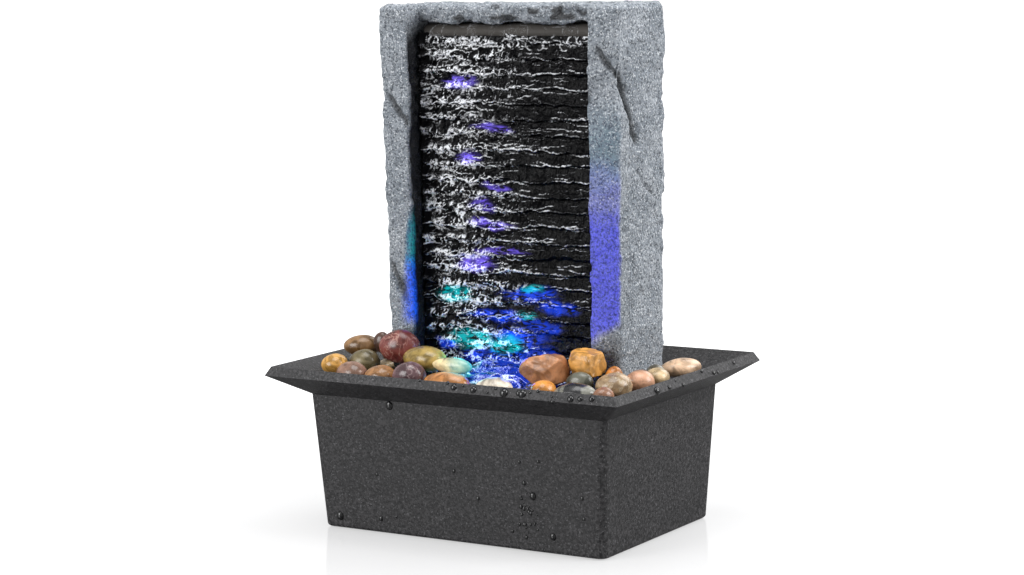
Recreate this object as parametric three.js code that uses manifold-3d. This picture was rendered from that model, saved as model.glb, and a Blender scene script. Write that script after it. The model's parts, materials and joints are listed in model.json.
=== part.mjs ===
// Tabletop water fountain: a plastic basin, a pebble deck, and a cast stone tower whose ridged panel carries
// a film of water. Millimetres, +Z up, +Y to the back. The origin is on the table, under the basin's middle.
import * as THREE from "three";
import { mergeVertices } from "three/addons/utils/BufferGeometryUtils.js";
import { ConvexGeometry } from "three/addons/geometries/ConvexGeometry.js";
import Module from "manifold-3d";

const wasm = await Module();
wasm.setup();

// ---- Driving dimensions ----
const GAP = 0.3; // clearance between pieces that touch
const FIT = 0.4; // clearance all round a pin in its hole
const WALL = 2.5; // moulded plastic wall

const TUB = {
  bottom: { x: 80.5, y: 52.6, z: 0.4 }, // half width, half depth and height of the tub's underside
  top: { x: 84.4, y: 57.1, z: 67.7 }, // the same where the tub meets the rim
  corner: 4,
  foot: 1.5, // radius between the walls and the underside
};
const RIM = {
  edge: { x: 100, y: 73, z: 78.1 }, // lower edge of the flared rim
  lip: { x: 97.6, y: 70.6, z: 82.4 }, // upper edge
  inner: { x: 81.7, y: 54.4, z: 72 }, // where the rim's slope meets the inner wall
  corner: 0.9,
};
const FLOOR = 3.7; // inside of the basin, whose floor is thicker than its walls

const DECK = { x: 80.8, y: 53.5, bottom: 67.2, top: 69.7, corner: 3.4 };
// flare is how much wider the tower is at its top than at its foot
const TOWER = { x: 66.2, flare: 3.4, front: -11, back: 37, bottom: DECK.top + GAP, top: 257.4 };
const RECESS = { x: 52.4, back: 7.3, top: 249, header: 1 };
const HOLLOW = { x: 60.5, front: 11.5, top: 252 };
const PANEL = { x: 51.4, back: RECESS.back - GAP, face: 4, crest: 1.3, top: 244, ridges: 23 };
const TROUGH = { x: 45.6, front: 7.8, back: 31, bottom: 237, top: 250.5, wall: 2.2, lip: 3.1, crest: 246.6 };

const PUMP = { x: -2, y: 22, z: 23, half: 14, length: 32 }; // motor block; the impeller's axis is parallel to X
const PUMP_FACE = PUMP.x + PUMP.length / 2; // front of the motor block
const OUTLET = { x: 20, y: PUMP.y, radius: 4.5, bore: 3, top: 50 };
const HOSE = { bore: OUTLET.radius + GAP, radius: 6.3, bottom: 41, top: 235 };
const LAMP = { x: 4, y: -22, radius: 11, bottom: 52, top: 72 };
const GROMMET = { x: 36, z: 59, hole: 4.3 };

// ---- Solids: three.js makes each shape, manifold-3d joins and cuts them ----
function solid(geometry) {
  const bare = new THREE.BufferGeometry().setAttribute("position", geometry.getAttribute("position"));
  if (geometry.index) bare.setIndex(geometry.index);
  const merged = mergeVertices(bare, 1e-4);
  return new wasm.Manifold(
    new wasm.Mesh({
      numProp: 3,
      vertProperties: merged.attributes.position.array,
      triVerts: new Uint32Array(merged.index.array),
    }),
  );
}

function geometryOf(manifold) {
  const mesh = manifold.getMesh();
  return new THREE.BufferGeometry()
    .setAttribute("position", new THREE.BufferAttribute(mesh.vertProperties, 3))
    .setIndex(new THREE.BufferAttribute(mesh.triVerts, 1));
}

const join = (base, ...others) => others.reduce((sum, other) => sum.add(solid(other)), base);
const cut = (base, ...tools) => tools.reduce((rest, tool) => rest.subtract(solid(tool)), base);

function box(x0, x1, y0, y1, z0, z1) {
  const geometry = new THREE.BoxGeometry(x1 - x0, y1 - y0, z1 - z0);
  return geometry.translate((x0 + x1) / 2, (y0 + y1) / 2, (z0 + z1) / 2);
}

// An upright cylinder, and one that lies along X or Y.
function post(x, y, radius, z0, z1, sides = 24) {
  const geometry = new THREE.CylinderGeometry(radius, radius, z1 - z0, sides);
  return geometry.rotateX(Math.PI / 2).translate(x, y, (z0 + z1) / 2);
}
function barAlongX(x0, x1, y, z, radius, sides = 24) {
  const geometry = new THREE.CylinderGeometry(radius, radius, x1 - x0, sides);
  return geometry.rotateZ(Math.PI / 2).translate((x0 + x1) / 2, y, z);
}
function barAlongY(x, y0, y1, z, radius, sides = 16) {
  const geometry = new THREE.CylinderGeometry(radius, radius, y1 - y0, sides);
  return geometry.translate(x, (y0 + y1) / 2, z);
}

// A profile of [radius, height] pairs turned round the Z axis.
function turned(profile, sides = 24) {
  const points = profile.map(([radius, height]) => new THREE.Vector2(radius, height));
  return new THREE.LatheGeometry(points, sides).rotateX(Math.PI / 2);
}

// A rounded rectangle as points with their outward normals, anticlockwise, the same number for any size.
function roundedOutline(halfX, halfY, radius, cornerSteps, edgeSteps = 1) {
  const corners = [[1, 1], [-1, 1], [-1, -1], [1, -1]];
  const arcs = corners.map(([sx, sy], quarter) => {
    const centre = { x: sx * (halfX - radius), y: sy * (halfY - radius) };
    return Array.from({ length: cornerSteps + 1 }, (_, i) => {
      const angle = ((quarter + i / cornerSteps) * Math.PI) / 2;
      const [nx, ny] = [Math.cos(angle), Math.sin(angle)];
      return { x: centre.x + radius * nx, y: centre.y + radius * ny, nx, ny };
    });
  });
  return arcs.flatMap((arc, quarter) => {
    const from = arc[arc.length - 1];
    const to = arcs[(quarter + 1) % 4][0];
    const edge = Array.from({ length: edgeSteps - 1 }, (_, i) => {
      const t = (i + 1) / edgeSteps;
      const [x, y] = [from.x + t * (to.x - from.x), from.y + t * (to.y - from.y)];
      return { x, y, nx: from.nx, ny: from.ny };
    });
    return [...arc, ...edge];
  });
}

// A closed skin over a stack of rings of equal length, the first and the last ring capped.
function loft(rings) {
  const count = rings[0].length;
  const faces = [];
  const quad = (a, b, c, d) => faces.push(a, b, c, a, c, d);
  for (let level = 0; level + 1 < rings.length; level++)
    for (let i = 0; i < count; i++) {
      const next = (i + 1) % count;
      quad(rings[level][i], rings[level][next], rings[level + 1][next], rings[level + 1][i]);
    }
  const cap = (ring, upward) => {
    const middle = ring.reduce((sum, p) => sum.add(p), new THREE.Vector3()).divideScalar(count);
    ring.forEach((p, i) => {
      const next = ring[(i + 1) % count];
      faces.push(middle, upward ? p : next, upward ? next : p);
    });
  };
  cap(rings[0], false);
  cap(rings[rings.length - 1], true);
  return new THREE.BufferGeometry().setFromPoints(faces);
}

const ring = (size, radius, inset = 0, rise = 0) =>
  roundedOutline(size.x - inset, size.y - inset, radius, 5).map((p) => new THREE.Vector3(p.x, p.y, size.z + rise));

// A flat slab cut to a rounded rectangle.
const slab = (halfX, halfY, radius, z0, z1) =>
  loft([z0, z1].map((z) => ring({ x: halfX, y: halfY, z }, radius)));

// An outline of [y, z] pairs, anticlockwise seen from +X, drawn out along X.
function drawnAlongX(outline, x0, x1) {
  const shape = new THREE.Shape(outline.map(([y, z]) => new THREE.Vector2(y, z)));
  const geometry = new THREE.ExtrudeGeometry(shape, { depth: x1 - x0, bevelEnabled: false });
  const turn = new THREE.Matrix4().makeBasis(
    new THREE.Vector3(0, 1, 0),
    new THREE.Vector3(0, 0, 1),
    new THREE.Vector3(1, 0, 0),
  );
  return geometry.applyMatrix4(turn).translate(x0, 0, 0);
}

// ---- Materials ----
const material = (color, roughness, metalness = 0, extra = {}) =>
  new THREE.MeshStandardMaterial({ color, roughness, metalness, ...extra });
const blackPlastic = () => material(0x232427, 0.6);
const pumpPlastic = () => material(0x141517, 0.45);
const clearPlastic = (color) => material(color, 0.1, 0, { transparent: true, opacity: 0.55 });
const softRubber = () => material(0x1b1b1c, 0.85);
const castStone = () => material(0x7d858f, 0.9);
const steel = () => material(0xb4b6b8, 0.3, 1);

const fountain = new THREE.Group();
function add(parent, name, shape, look, x = 0, y = 0, z = 0) {
  const mesh = new THREE.Mesh(shape.isBufferGeometry ? shape : geometryOf(shape), look);
  mesh.name = name;
  mesh.position.set(x, y, z);
  parent.add(mesh);
}

// ---- Basin: a tapered tub with a flared rim; posts carry the deck, a socket carries the lamp ----
const draft = { x: TUB.top.x - TUB.bottom.x, y: TUB.top.y - TUB.bottom.y, z: TUB.top.z - TUB.bottom.z };
const FOOT = { x: 62, y: 36, radius: 6, recess: 1.8 };

function innerWall(z) {
  const t = (z - TUB.bottom.z) / draft.z;
  return { x: TUB.bottom.x - WALL + t * draft.x, y: TUB.bottom.y - WALL + t * draft.y, z };
}

function basinShell() {
  const bend = [0, 1, 2, 3].map((step) => {
    const angle = ((step / 3) * Math.PI) / 2;
    return ring(TUB.bottom, TUB.corner, TUB.foot * (1 - Math.sin(angle)), TUB.foot * (1 - Math.cos(angle)));
  });
  return loft([
    ...bend,
    ring(TUB.top, TUB.corner),
    ring(RIM.edge, RIM.corner),
    ring(RIM.lip, RIM.corner),
    ring(RIM.inner, TUB.corner - WALL),
    ring(innerWall(FLOOR + TUB.foot / 2), TUB.corner - WALL),
    ring(innerWall(FLOOR), TUB.corner - WALL, TUB.foot / 2),
  ]);
}

// A post on the inside of a wall, following its draft. side is "x" or "y".
function deckPost(side, sign, along) {
  const top = DECK.bottom - GAP;
  const [low, high] = [innerWall(FLOOR)[side] + 1, innerWall(top)[side] + 1];
  const outline = [[low - 6, FLOOR - 1], [low - 1, FLOOR - 1], [high, top], [high - 6, top]];
  const rib = drawnAlongX(outline, along - 3, along + 3);
  const turn = side === "x" ? -Math.PI / 2 : 0;
  return sign < 0 ? rib.rotateZ(turn + Math.PI) : rib.rotateZ(turn);
}

function basin() {
  const posts = [-1, 1].flatMap((sign) => [
    deckPost("x", sign, -28),
    deckPost("x", sign, 28),
    deckPost("y", sign, -50),
    deckPost("y", sign, 50),
  ]);
  const lampPost = post(LAMP.x, LAMP.y, 7, FLOOR - 1, LAMP.bottom - GAP);
  const lampBore = post(LAMP.x, LAMP.y, 5, FLOOR + 2, LAMP.bottom + 1);
  const cordHole = barAlongY(GROMMET.x, 45, 65, GROMMET.z, GROMMET.hole, 20);
  const recesses = [-1, 1].flatMap((sx) =>
    [-1, 1].map((sy) => post(sx * FOOT.x, sy * FOOT.y, FOOT.radius + GAP, 0, TUB.bottom.z + FOOT.recess)),
  );
  return cut(join(solid(basinShell()), ...posts, lampPost), lampBore, cordHole, ...recesses);
}
add(fountain, "basin", basin(), blackPlastic());

for (const [end, sy] of [["front", -1], ["rear", 1]])
  for (const [side, sx] of [["left", -1], ["right", 1]]) {
    const top = TUB.bottom.z + FOOT.recess - GAP;
    const profile = [[0, 0], [FOOT.radius - 0.5, 0], [FOOT.radius, 0.5], [FOOT.radius, top], [0, top]];
    add(fountain, `foot_${end}_${side}`, turned(profile), softRubber(), sx * FOOT.x, sy * FOOT.y);
  }

function cordGrommet() {
  const wall = innerWall(GROMMET.z).y;
  const [neck, flange, bore] = [GROMMET.hole - FIT, GROMMET.hole + 2, 2.2];
  const flangeDepth = 1.6;
  const reach = WALL / 2 + 2.5 * GAP; // half the groove, wide enough for the sloping wall
  const profile = [
    [bore, -reach - flangeDepth],
    [flange, -reach - flangeDepth],
    [flange, -reach],
    [neck, -reach],
    [neck, reach],
    [flange, reach],
    [flange, reach + flangeDepth],
    [bore, reach + flangeDepth],
    [bore, -reach - flangeDepth],
  ];
  const slope = Math.atan2(draft.y, draft.z);
  const geometry = turned(profile).rotateX(-Math.PI / 2 - slope);
  return geometry.translate(GROMMET.x, wall + WALL / 2, GROMMET.z);
}
add(fountain, "cord_grommet", cordGrommet(), softRubber());

// ---- Pump: motor block, volute, rotor on a ceramic shaft, and a pull-off intake cover ----
const pump = new THREE.Group(); // its own axes: X along the impeller's shaft, origin on the shaft's axis
pump.position.set(0, PUMP.y, PUMP.z);
fountain.add(pump);
const ROTOR = { well: 6.3, radius: 5.6, bore: 1.5, shaft: 1.2 };
const VOLUTE = { radius: 12, inner: 10.4, end: 25 };
const COVER = { end: 40, wall: 1.6 };
const CUP = { spread: 10, stem: 1.8 };

function pumpHousing() {
  const [back, front, h] = [PUMP.x - PUMP.length / 2, PUMP_FACE, PUMP.half];
  const across = roundedOutline(h, h, 4, 4).map((p) => [p.x, p.y]);
  const block = solid(drawnAlongX(across, back, front));
  const lead = barAlongX(back - 2.5, back + 1, 0, 3, 2.8, 12);
  const well = barAlongX(back + 8, front + 1, 0, 0, ROTOR.well);
  const bushSeat = barAlongX(back + 5, back + 9, 0, 0, 2.9);
  const stems = [-1, 1].flatMap((sx) =>
    [-1, 1].map((sy) => post(PUMP.x + sx * CUP.spread, sy * CUP.spread, CUP.stem + FIT, -h - 1, -h + 3)),
  );
  return cut(join(block, lead), well, bushSeat, ...stems);
}
add(pump, "pump_housing", pumpHousing(), pumpPlastic());

function voluteCover() {
  const start = PUMP_FACE + GAP;
  const shell = solid(barAlongX(start, VOLUTE.end, 0, 0, VOLUTE.radius, 32));
  const nozzle = post(OUTLET.x, 0, OUTLET.radius, VOLUTE.inner, OUTLET.top - PUMP.z);
  const room = barAlongX(start - 1, VOLUTE.end - 1.8, 0, 0, VOLUTE.inner, 32);
  const bore = post(OUTLET.x, 0, OUTLET.bore, VOLUTE.inner - 3, OUTLET.top - PUMP.z + 1);
  const bushSeat = barAlongX(VOLUTE.end - 2.5, VOLUTE.end + 2, 0, 0, 2.7);
  const inlets = [0, 1, 2, 3, 4, 5].map((i) => {
    const angle = (i * Math.PI) / 3;
    return barAlongX(VOLUTE.end - 3, VOLUTE.end + 1, 6 * Math.cos(angle), 6 * Math.sin(angle), 1.7, 12);
  });
  return cut(join(shell, nozzle), room, bore, bushSeat, ...inlets);
}
add(pump, "volute_cover", voluteCover(), pumpPlastic());

const SHAFT = { start: PUMP.x - PUMP.length / 2 + 5.4, end: VOLUTE.end + 0.4 };
add(pump, "pump_shaft", barAlongX(SHAFT.start, SHAFT.end, 0, 0, ROTOR.shaft, 16), material(0xf0eee8, 0.3));

function tube(x0, x1, radius, bore) {
  return cut(solid(barAlongX(x0, x1, 0, 0, radius)), barAlongX(x0 - 1, x1 + 1, 0, 0, bore, 16));
}
const BUSH_BORE = ROTOR.shaft + GAP;
add(pump, "shaft_bush_rear", tube(SHAFT.start, SHAFT.start + 2.6, 2.6, BUSH_BORE), softRubber());
add(pump, "shaft_bush_front", tube(VOLUTE.end - 1.8, SHAFT.end, 2.4, BUSH_BORE), softRubber());

const MAGNET_END = PUMP_FACE - 1;
add(pump, "rotor_magnet", tube(-8, MAGNET_END, ROTOR.radius, ROTOR.bore), material(0x2d2d30, 0.4, 0.3));

function impeller() {
  const start = MAGNET_END + GAP;
  const hub = solid(barAlongX(start, 20.5, 0, 0, 3.2));
  const disc = barAlongX(PUMP_FACE + 1.2, PUMP_FACE + 2.4, 0, 0, 9.2, 30);
  const blades = [0, 1, 2, 3, 4, 5].map((i) =>
    box(PUMP_FACE + 2, 20.5, 2.4, 9, -0.5, 0.5).rotateX((i * Math.PI) / 3),
  );
  return cut(join(hub, disc, ...blades), barAlongX(start - 1, 22, 0, 0, ROTOR.bore, 16));
}
add(pump, "impeller", impeller(), material(0xd9dde0, 0.4));

function intakeCover() {
  const [start, end, h, wall] = [PUMP_FACE + GAP, COVER.end, PUMP.half, COVER.wall];
  const outline = (half, radius) => roundedOutline(half, half, radius, 4).map((p) => [p.x, p.y]);
  const cap = solid(drawnAlongX(outline(h, 4), start, end));
  const room = drawnAlongX(outline(h - wall, 2.4), start - 1, end - wall);
  const nozzleSlot = box(start - 1, OUTLET.x, -5.3, 5.3, 5, h + 1);
  const nozzleEnd = post(OUTLET.x, 0, 5.3, 5, h + 1);
  const slots = [-8, -4, 0, 4, 8].map((y) => box(end - wall - 1, end + 1, y - 1, y + 1, -9, 4));
  const rails = [-1, 1].flatMap((side) => [
    box(end - 0.5, end + 2.9, -0.8, 0.8, -10, 12).translate(0, side * 11.1, 0),
    box(end + 2, end + 2.9, -1.3, 1.3, -10, 12).translate(0, side * 10.6, 0),
  ]);
  return join(cut(cap, room, nozzleSlot, nozzleEnd, ...slots), ...rails);
}
add(pump, "intake_cover", intakeCover(), pumpPlastic());

function flowSlider() {
  const start = COVER.end + GAP;
  const plate = solid(box(start, start + 1.4, -10, 10, -2, 8));
  return join(plate, box(start + 1, start + 3.4, -4, 4, 5, 6.6));
}
add(pump, "flow_slider", flowSlider(), pumpPlastic());

const SPONGE = PUMP.half - COVER.wall - GAP;
const spongeOutline = roundedOutline(SPONGE, SPONGE, 2.2, 3).map((p) => [p.x, p.y]);
const spongeEnd = COVER.end - COVER.wall - GAP;
add(pump, "filter_sponge", drawnAlongX(spongeOutline, 28, spongeEnd), material(0x2b2d30, 1));

for (const [end, sy] of [["front", -1], ["rear", 1]])
  for (const [side, sx] of [["left", -1], ["right", 1]]) {
    const floor = FLOOR - PUMP.z + GAP;
    const neck = -PUMP.half - GAP;
    const profile = [
      [0, floor + 1.4],
      [3.4, floor + 0.6],
      [5, floor],
      [5.2, floor + 0.5],
      [2.6, floor + 2.8],
      [2.4, neck],
      [CUP.stem, neck],
      [CUP.stem, neck + 2.8],
      [0, neck + 2.8],
    ];
    const name = `suction_cup_${end}_${side}`;
    add(pump, name, turned(profile, 20), softRubber(), PUMP.x + sx * CUP.spread, sy * CUP.spread);
  }

// ---- Lamp: a pod on the basin's post, shining up at the foot of the panel ----
const lamp = new THREE.Group();
lamp.position.set(LAMP.x, LAMP.y, LAMP.bottom);
fountain.add(lamp);
const LAMP_HEIGHT = LAMP.top - LAMP.bottom;
const LEAD = { radius: 1.5, z: 6 };

function lampHousing() {
  const profile = [
    [0, 0],
    [LAMP.radius - 1, 0],
    [LAMP.radius, 1],
    [LAMP.radius, LAMP_HEIGHT],
    [9.2, LAMP_HEIGHT],
    [9.2, 10],
    [7.4, 10],
    [7.4, 2],
    [0, 2],
  ];
  const gland = barAlongX(-LAMP.radius - 1.5, -8, 0, LEAD.z, 2.6, 12);
  return join(solid(turned(profile, 32)), gland);
}
add(lamp, "lamp_housing", lampHousing(), blackPlastic());

function lampBoard() {
  const board = solid(post(0, 0, 8.8, 10 + GAP, 11.6));
  const diodes = [0, 1, 2, 3, 4, 5].map((i) => {
    const angle = (i * Math.PI) / 3;
    return box(-1.4, 1.4, -1.4, 1.4, 11, 12.8).translate(5 * Math.cos(angle), 5 * Math.sin(angle), 0);
  });
  return join(board, ...diodes);
}
add(lamp, "lamp_board", lampBoard(), material(0xe8e6dc, 0.5));

const LENS_SEAT = LAMP_HEIGHT + GAP;
const lensDome = [0, 1, 2, 3, 4].map((step) => {
  const angle = (step / 4) * (Math.PI / 2);
  return [LAMP.radius * Math.cos(angle), LENS_SEAT + 1 + 3 * Math.sin(angle)];
});
const lensProfile = [[0, 15], [8.8, 15], [8.8, LENS_SEAT], [LAMP.radius, LENS_SEAT], ...lensDome.slice(0, 4)];
add(lamp, "lamp_lens", turned([...lensProfile, [0, LENS_SEAT + 4]], 32), clearPlastic(0xdfe8ff));

// The lamp's lead runs inside the basin, from the back of the motor block round to the pod.
function lampLead() {
  const start = new THREE.Vector3(PUMP.x - PUMP.length / 2 - 2.5 - GAP, PUMP.y, PUMP.z + 3);
  const end = new THREE.Vector3(LAMP.x - LAMP.radius - 1.5 - GAP, LAMP.y, LAMP.bottom + LEAD.z);
  const between = [
    [-26, 22, 26],
    [-31, 16, 26],
    [-30, -2, 27],
    [-26, -16, 34],
    [-21, -21, 46],
    [-18, -22, 56],
    [-14, -22, 58],
  ].map((p) => new THREE.Vector3(...p));
  const route = new THREE.CatmullRomCurve3([start, ...between, end], false, "centripetal");
  const section = new THREE.Shape().absarc(0, 0, LEAD.radius, 0, 2 * Math.PI);
  return new THREE.ExtrudeGeometry(section, { steps: 40, curveSegments: 8, extrudePath: route });
}
add(fountain, "lamp_lead", lampLead(), softRubber());

// ---- Pebble deck: a perforated plate on the posts ----
function deckPlate() {
  const { bottom, top } = DECK;
  const plate = solid(slab(DECK.x, DECK.y, DECK.corner, bottom, top));
  const ribs = [-38, 45].map((y) => box(-70, 70, y - 1, y + 1, bottom - 6, bottom + 1));
  const lugs = [-50, 50].map((x) => box(x - 4, x + 4, 13, 16, top - 1, top + 4));
  const lampHole = post(LAMP.x, LAMP.y, LAMP.radius + 1.5, bottom - 9, top + 1, 32);
  const hoseHole = post(OUTLET.x, OUTLET.y, HOSE.radius + 1.5, bottom - 1, top + 1);
  const columns = Array.from({ length: 12 }, (_, i) => 12 * (i - 5.5));
  const frontSlots = columns
    .filter((x) => Math.abs(x - LAMP.x) > 18)
    .map((x) => box(x - 1.5, x + 1.5, -33, -17, bottom - 1, top + 1));
  const edgeSlots = columns.flatMap((x) =>
    [-45, 48].map((y) => box(x - 1.5, x + 1.5, y - 2, y + 2, bottom - 9, top + 1)),
  );
  const panelSlots = columns.slice(2, 10).map((x) => box(x - 4, x + 4, -3, 0, bottom - 1, top + 1));
  return cut(join(plate, ...ribs, ...lugs), lampHole, hoseHole, ...frontSlots, ...edgeSlots, ...panelSlots);
}
add(fountain, "deck_plate", deckPlate(), blackPlastic());

// ---- Tower: a cast stone surround, hollow at the back, with the ridged panel in its front recess ----
const TOWER_MIDDLE = (TOWER.front + TOWER.back) / 2;
const TOWER_DEPTH = (TOWER.back - TOWER.front) / 2;
const SCREW = { x: 54, z: [80, 243], hole: 1.2, head: 3 };

// How far the rough stone stands out of its plain faces.
function lump(x, y, z) {
  return (
    0.25 * Math.sin(0.09 * z + 0.05 * x + 1) +
    0.3 * Math.sin(0.21 * z - 0.16 * y) +
    0.25 * Math.sin(0.33 * x + 0.17 * z + 2)
  );
}

function stoneRing(z, inset) {
  const share = (z - TOWER.bottom) / (TOWER.top - TOWER.bottom);
  const halfX = TOWER.x + (share - 0.5) * TOWER.flare - inset;
  return roundedOutline(halfX, TOWER_DEPTH - inset, 2.5, 3, 8).map((p) => {
    const out = lump(p.x, p.y, z);
    return new THREE.Vector3(p.x + out * p.nx, TOWER_MIDDLE + p.y + out * p.ny, z);
  });
}

function recessRing(z) {
  const wave = 0.5 * Math.sin(0.11 * z);
  const [x, front, back] = [RECESS.x + wave, TOWER.front - 3, RECESS.back];
  return [[x, front], [x, back], [-x, back], [-x, front]].map(([px, py]) => new THREE.Vector3(px, py, z));
}

function rockSurround() {
  const { bottom, top } = TOWER;
  const levels = Array.from({ length: 19 }, (_, i) => bottom + ((top - 1.6 - bottom) * i) / 18);
  const block = solid(loft([...levels.map((z) => stoneRing(z, 0)), stoneRing(top, 1.6)]));
  const recessLevels = Array.from({ length: 13 }, (_, i) => bottom - 1 + ((RECESS.top - bottom + 1) * i) / 12);
  const recess = loft(recessLevels.map(recessRing));
  const header = box(-RECESS.x, RECESS.x, TOWER.front - 3, RECESS.header, RECESS.top - 0.5, top + 2);
  const hollow = box(-HOLLOW.x, HOLLOW.x, HOLLOW.front, TOWER.back + 3, bottom - 1, HOLLOW.top);
  const window = box(-44, 44, RECESS.back - 1, HOLLOW.front + 1, bottom + 8, TROUGH.bottom - 10);
  const seat = box(
    -TROUGH.x - 0.5,
    TROUGH.x + 0.5,
    RECESS.back - 1,
    HOLLOW.front + 1,
    TROUGH.bottom - GAP,
    RECESS.top,
  );
  const bosses = [];
  const holes = [];
  for (const sx of [-1, 1])
    for (const z of SCREW.z) {
      const [inner, outer] = [SCREW.x - 4, HOLLOW.x + 1];
      bosses.push(box(Math.min(sx * inner, sx * outer), Math.max(sx * inner, sx * outer), 22, 34, z - 4, z + 4));
      holes.push(barAlongY(sx * SCREW.x, 25, 36, z, SCREW.hole, 12));
    }
  return cut(join(cut(block, recess, header, hollow, window, seat), ...bosses), ...holes);
}

// The panel's face is a stack of ledges, each leaning out as it goes down and turning back under.
function ridgedPanel() {
  const { bottom } = TOWER;
  const pitch = (PANEL.top - bottom - GAP) / PANEL.ridges;
  const depth = PANEL.face - PANEL.crest;
  const ledge = [[0, 0.05], [0.55, 0.3], [1, 0.62], [0.9, 0.78], [0.35, 0.9]]; // how far out, how far down
  const face = Array.from({ length: PANEL.ridges }, (_, i) =>
    ledge.map(([out, down]) => [PANEL.face - depth * out, PANEL.top - pitch * (i + down)]),
  );
  const outline = [[PANEL.face, PANEL.top], ...face.flat(), [PANEL.face, bottom + GAP]];
  outline.push([PANEL.back, bottom + GAP], [PANEL.back, PANEL.top]);
  return drawnAlongX(outline, -PANEL.x, PANEL.x);
}

// The trough overflows through its forward lip, onto the panel.
function weirTrough() {
  const { x, front, back, bottom, top, wall, lip, crest } = TROUGH;
  const tub = solid(box(-x, x, front, back, bottom, top));
  const spout = [[lip, crest - 1.4], [lip + 0.6, crest - 2], [front + wall, crest - 2], [front + wall, crest]];
  const lipPlate = drawnAlongX([...spout, [lip + 0.6, crest]], -x, x);
  const room = box(-x + wall, x - wall, front + wall, back - wall, bottom + wall, top + 1);
  const overflow = box(-x + wall, x - wall, front - 1, front + wall + 1, crest, top + 1);
  const headerRoom = box(-x - 1, x + 1, lip - 1, HOLLOW.front + GAP, RECESS.top - GAP, top + 1);
  const inlet = post(OUTLET.x, OUTLET.y, OUTLET.radius + GAP, bottom - 1, bottom + wall + 1);
  return cut(cut(join(tub, lipPlate), room), overflow, headerRoom, inlet);
}

function troughInlet() {
  const base = TROUGH.bottom + TROUGH.wall + GAP;
  const profile = [
    [OUTLET.bore, base + 1.6],
    [OUTLET.bore, base - 18],
    [OUTLET.radius, base - 18],
    [OUTLET.radius, base],
    [6.3, base],
    [6.3, base + 1.6],
    [OUTLET.bore, base + 1.6],
  ];
  return turned(profile);
}

function hose() {
  const profile = [
    [HOSE.bore, HOSE.top],
    [HOSE.bore, HOSE.bottom],
    [HOSE.radius, HOSE.bottom],
    [HOSE.radius, HOSE.top],
    [HOSE.bore, HOSE.top],
  ];
  return turned(profile);
}

const COVER_PLATE = { x: HOLLOW.x - 0.5, front: 34 + GAP, thick: 2.4 };
function backCover() {
  const { x, front, thick } = COVER_PLATE;
  const plate = solid(box(-x, x, front, front + thick, TOWER.bottom + GAP, HOLLOW.top - 0.5));
  const holes = [-1, 1].flatMap((sx) =>
    SCREW.z.map((z) => barAlongY(sx * SCREW.x, front - 1, front + thick + 1, z, SCREW.hole + 0.4, 12)),
  );
  return cut(plate, ...holes);
}

function screw() {
  const [shank, length, head] = [SCREW.hole - FIT, 10, 1.8];
  const profile = [[0, -length], [shank, -length + 1], [shank, 0], [SCREW.head, 0], [SCREW.head, head - 0.6]];
  return turned([...profile, [SCREW.head - 0.8, head], [0, head]], 16).rotateX(-Math.PI / 2);
}

add(fountain, "rock_surround", rockSurround(), castStone());
add(fountain, "ridged_panel", ridgedPanel(), material(0x17181a, 0.25));
add(fountain, "weir_trough", weirTrough(), blackPlastic());
add(fountain, "trough_inlet", troughInlet(), pumpPlastic(), OUTLET.x, OUTLET.y);
add(fountain, "hose", hose(), clearPlastic(0xd8dde0), OUTLET.x, OUTLET.y);
add(fountain, "back_cover", backCover(), blackPlastic());
for (const [side, sx] of [["left", -1], ["right", 1]])
  for (const [level, z] of [["lower", SCREW.z[0]], ["upper", SCREW.z[1]]]) {
    const y = COVER_PLATE.front + COVER_PLATE.thick + GAP;
    add(fountain, `cover_screw_${level}_${side}`, screw(), steel(), sx * SCREW.x, y, z);
  }

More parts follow.
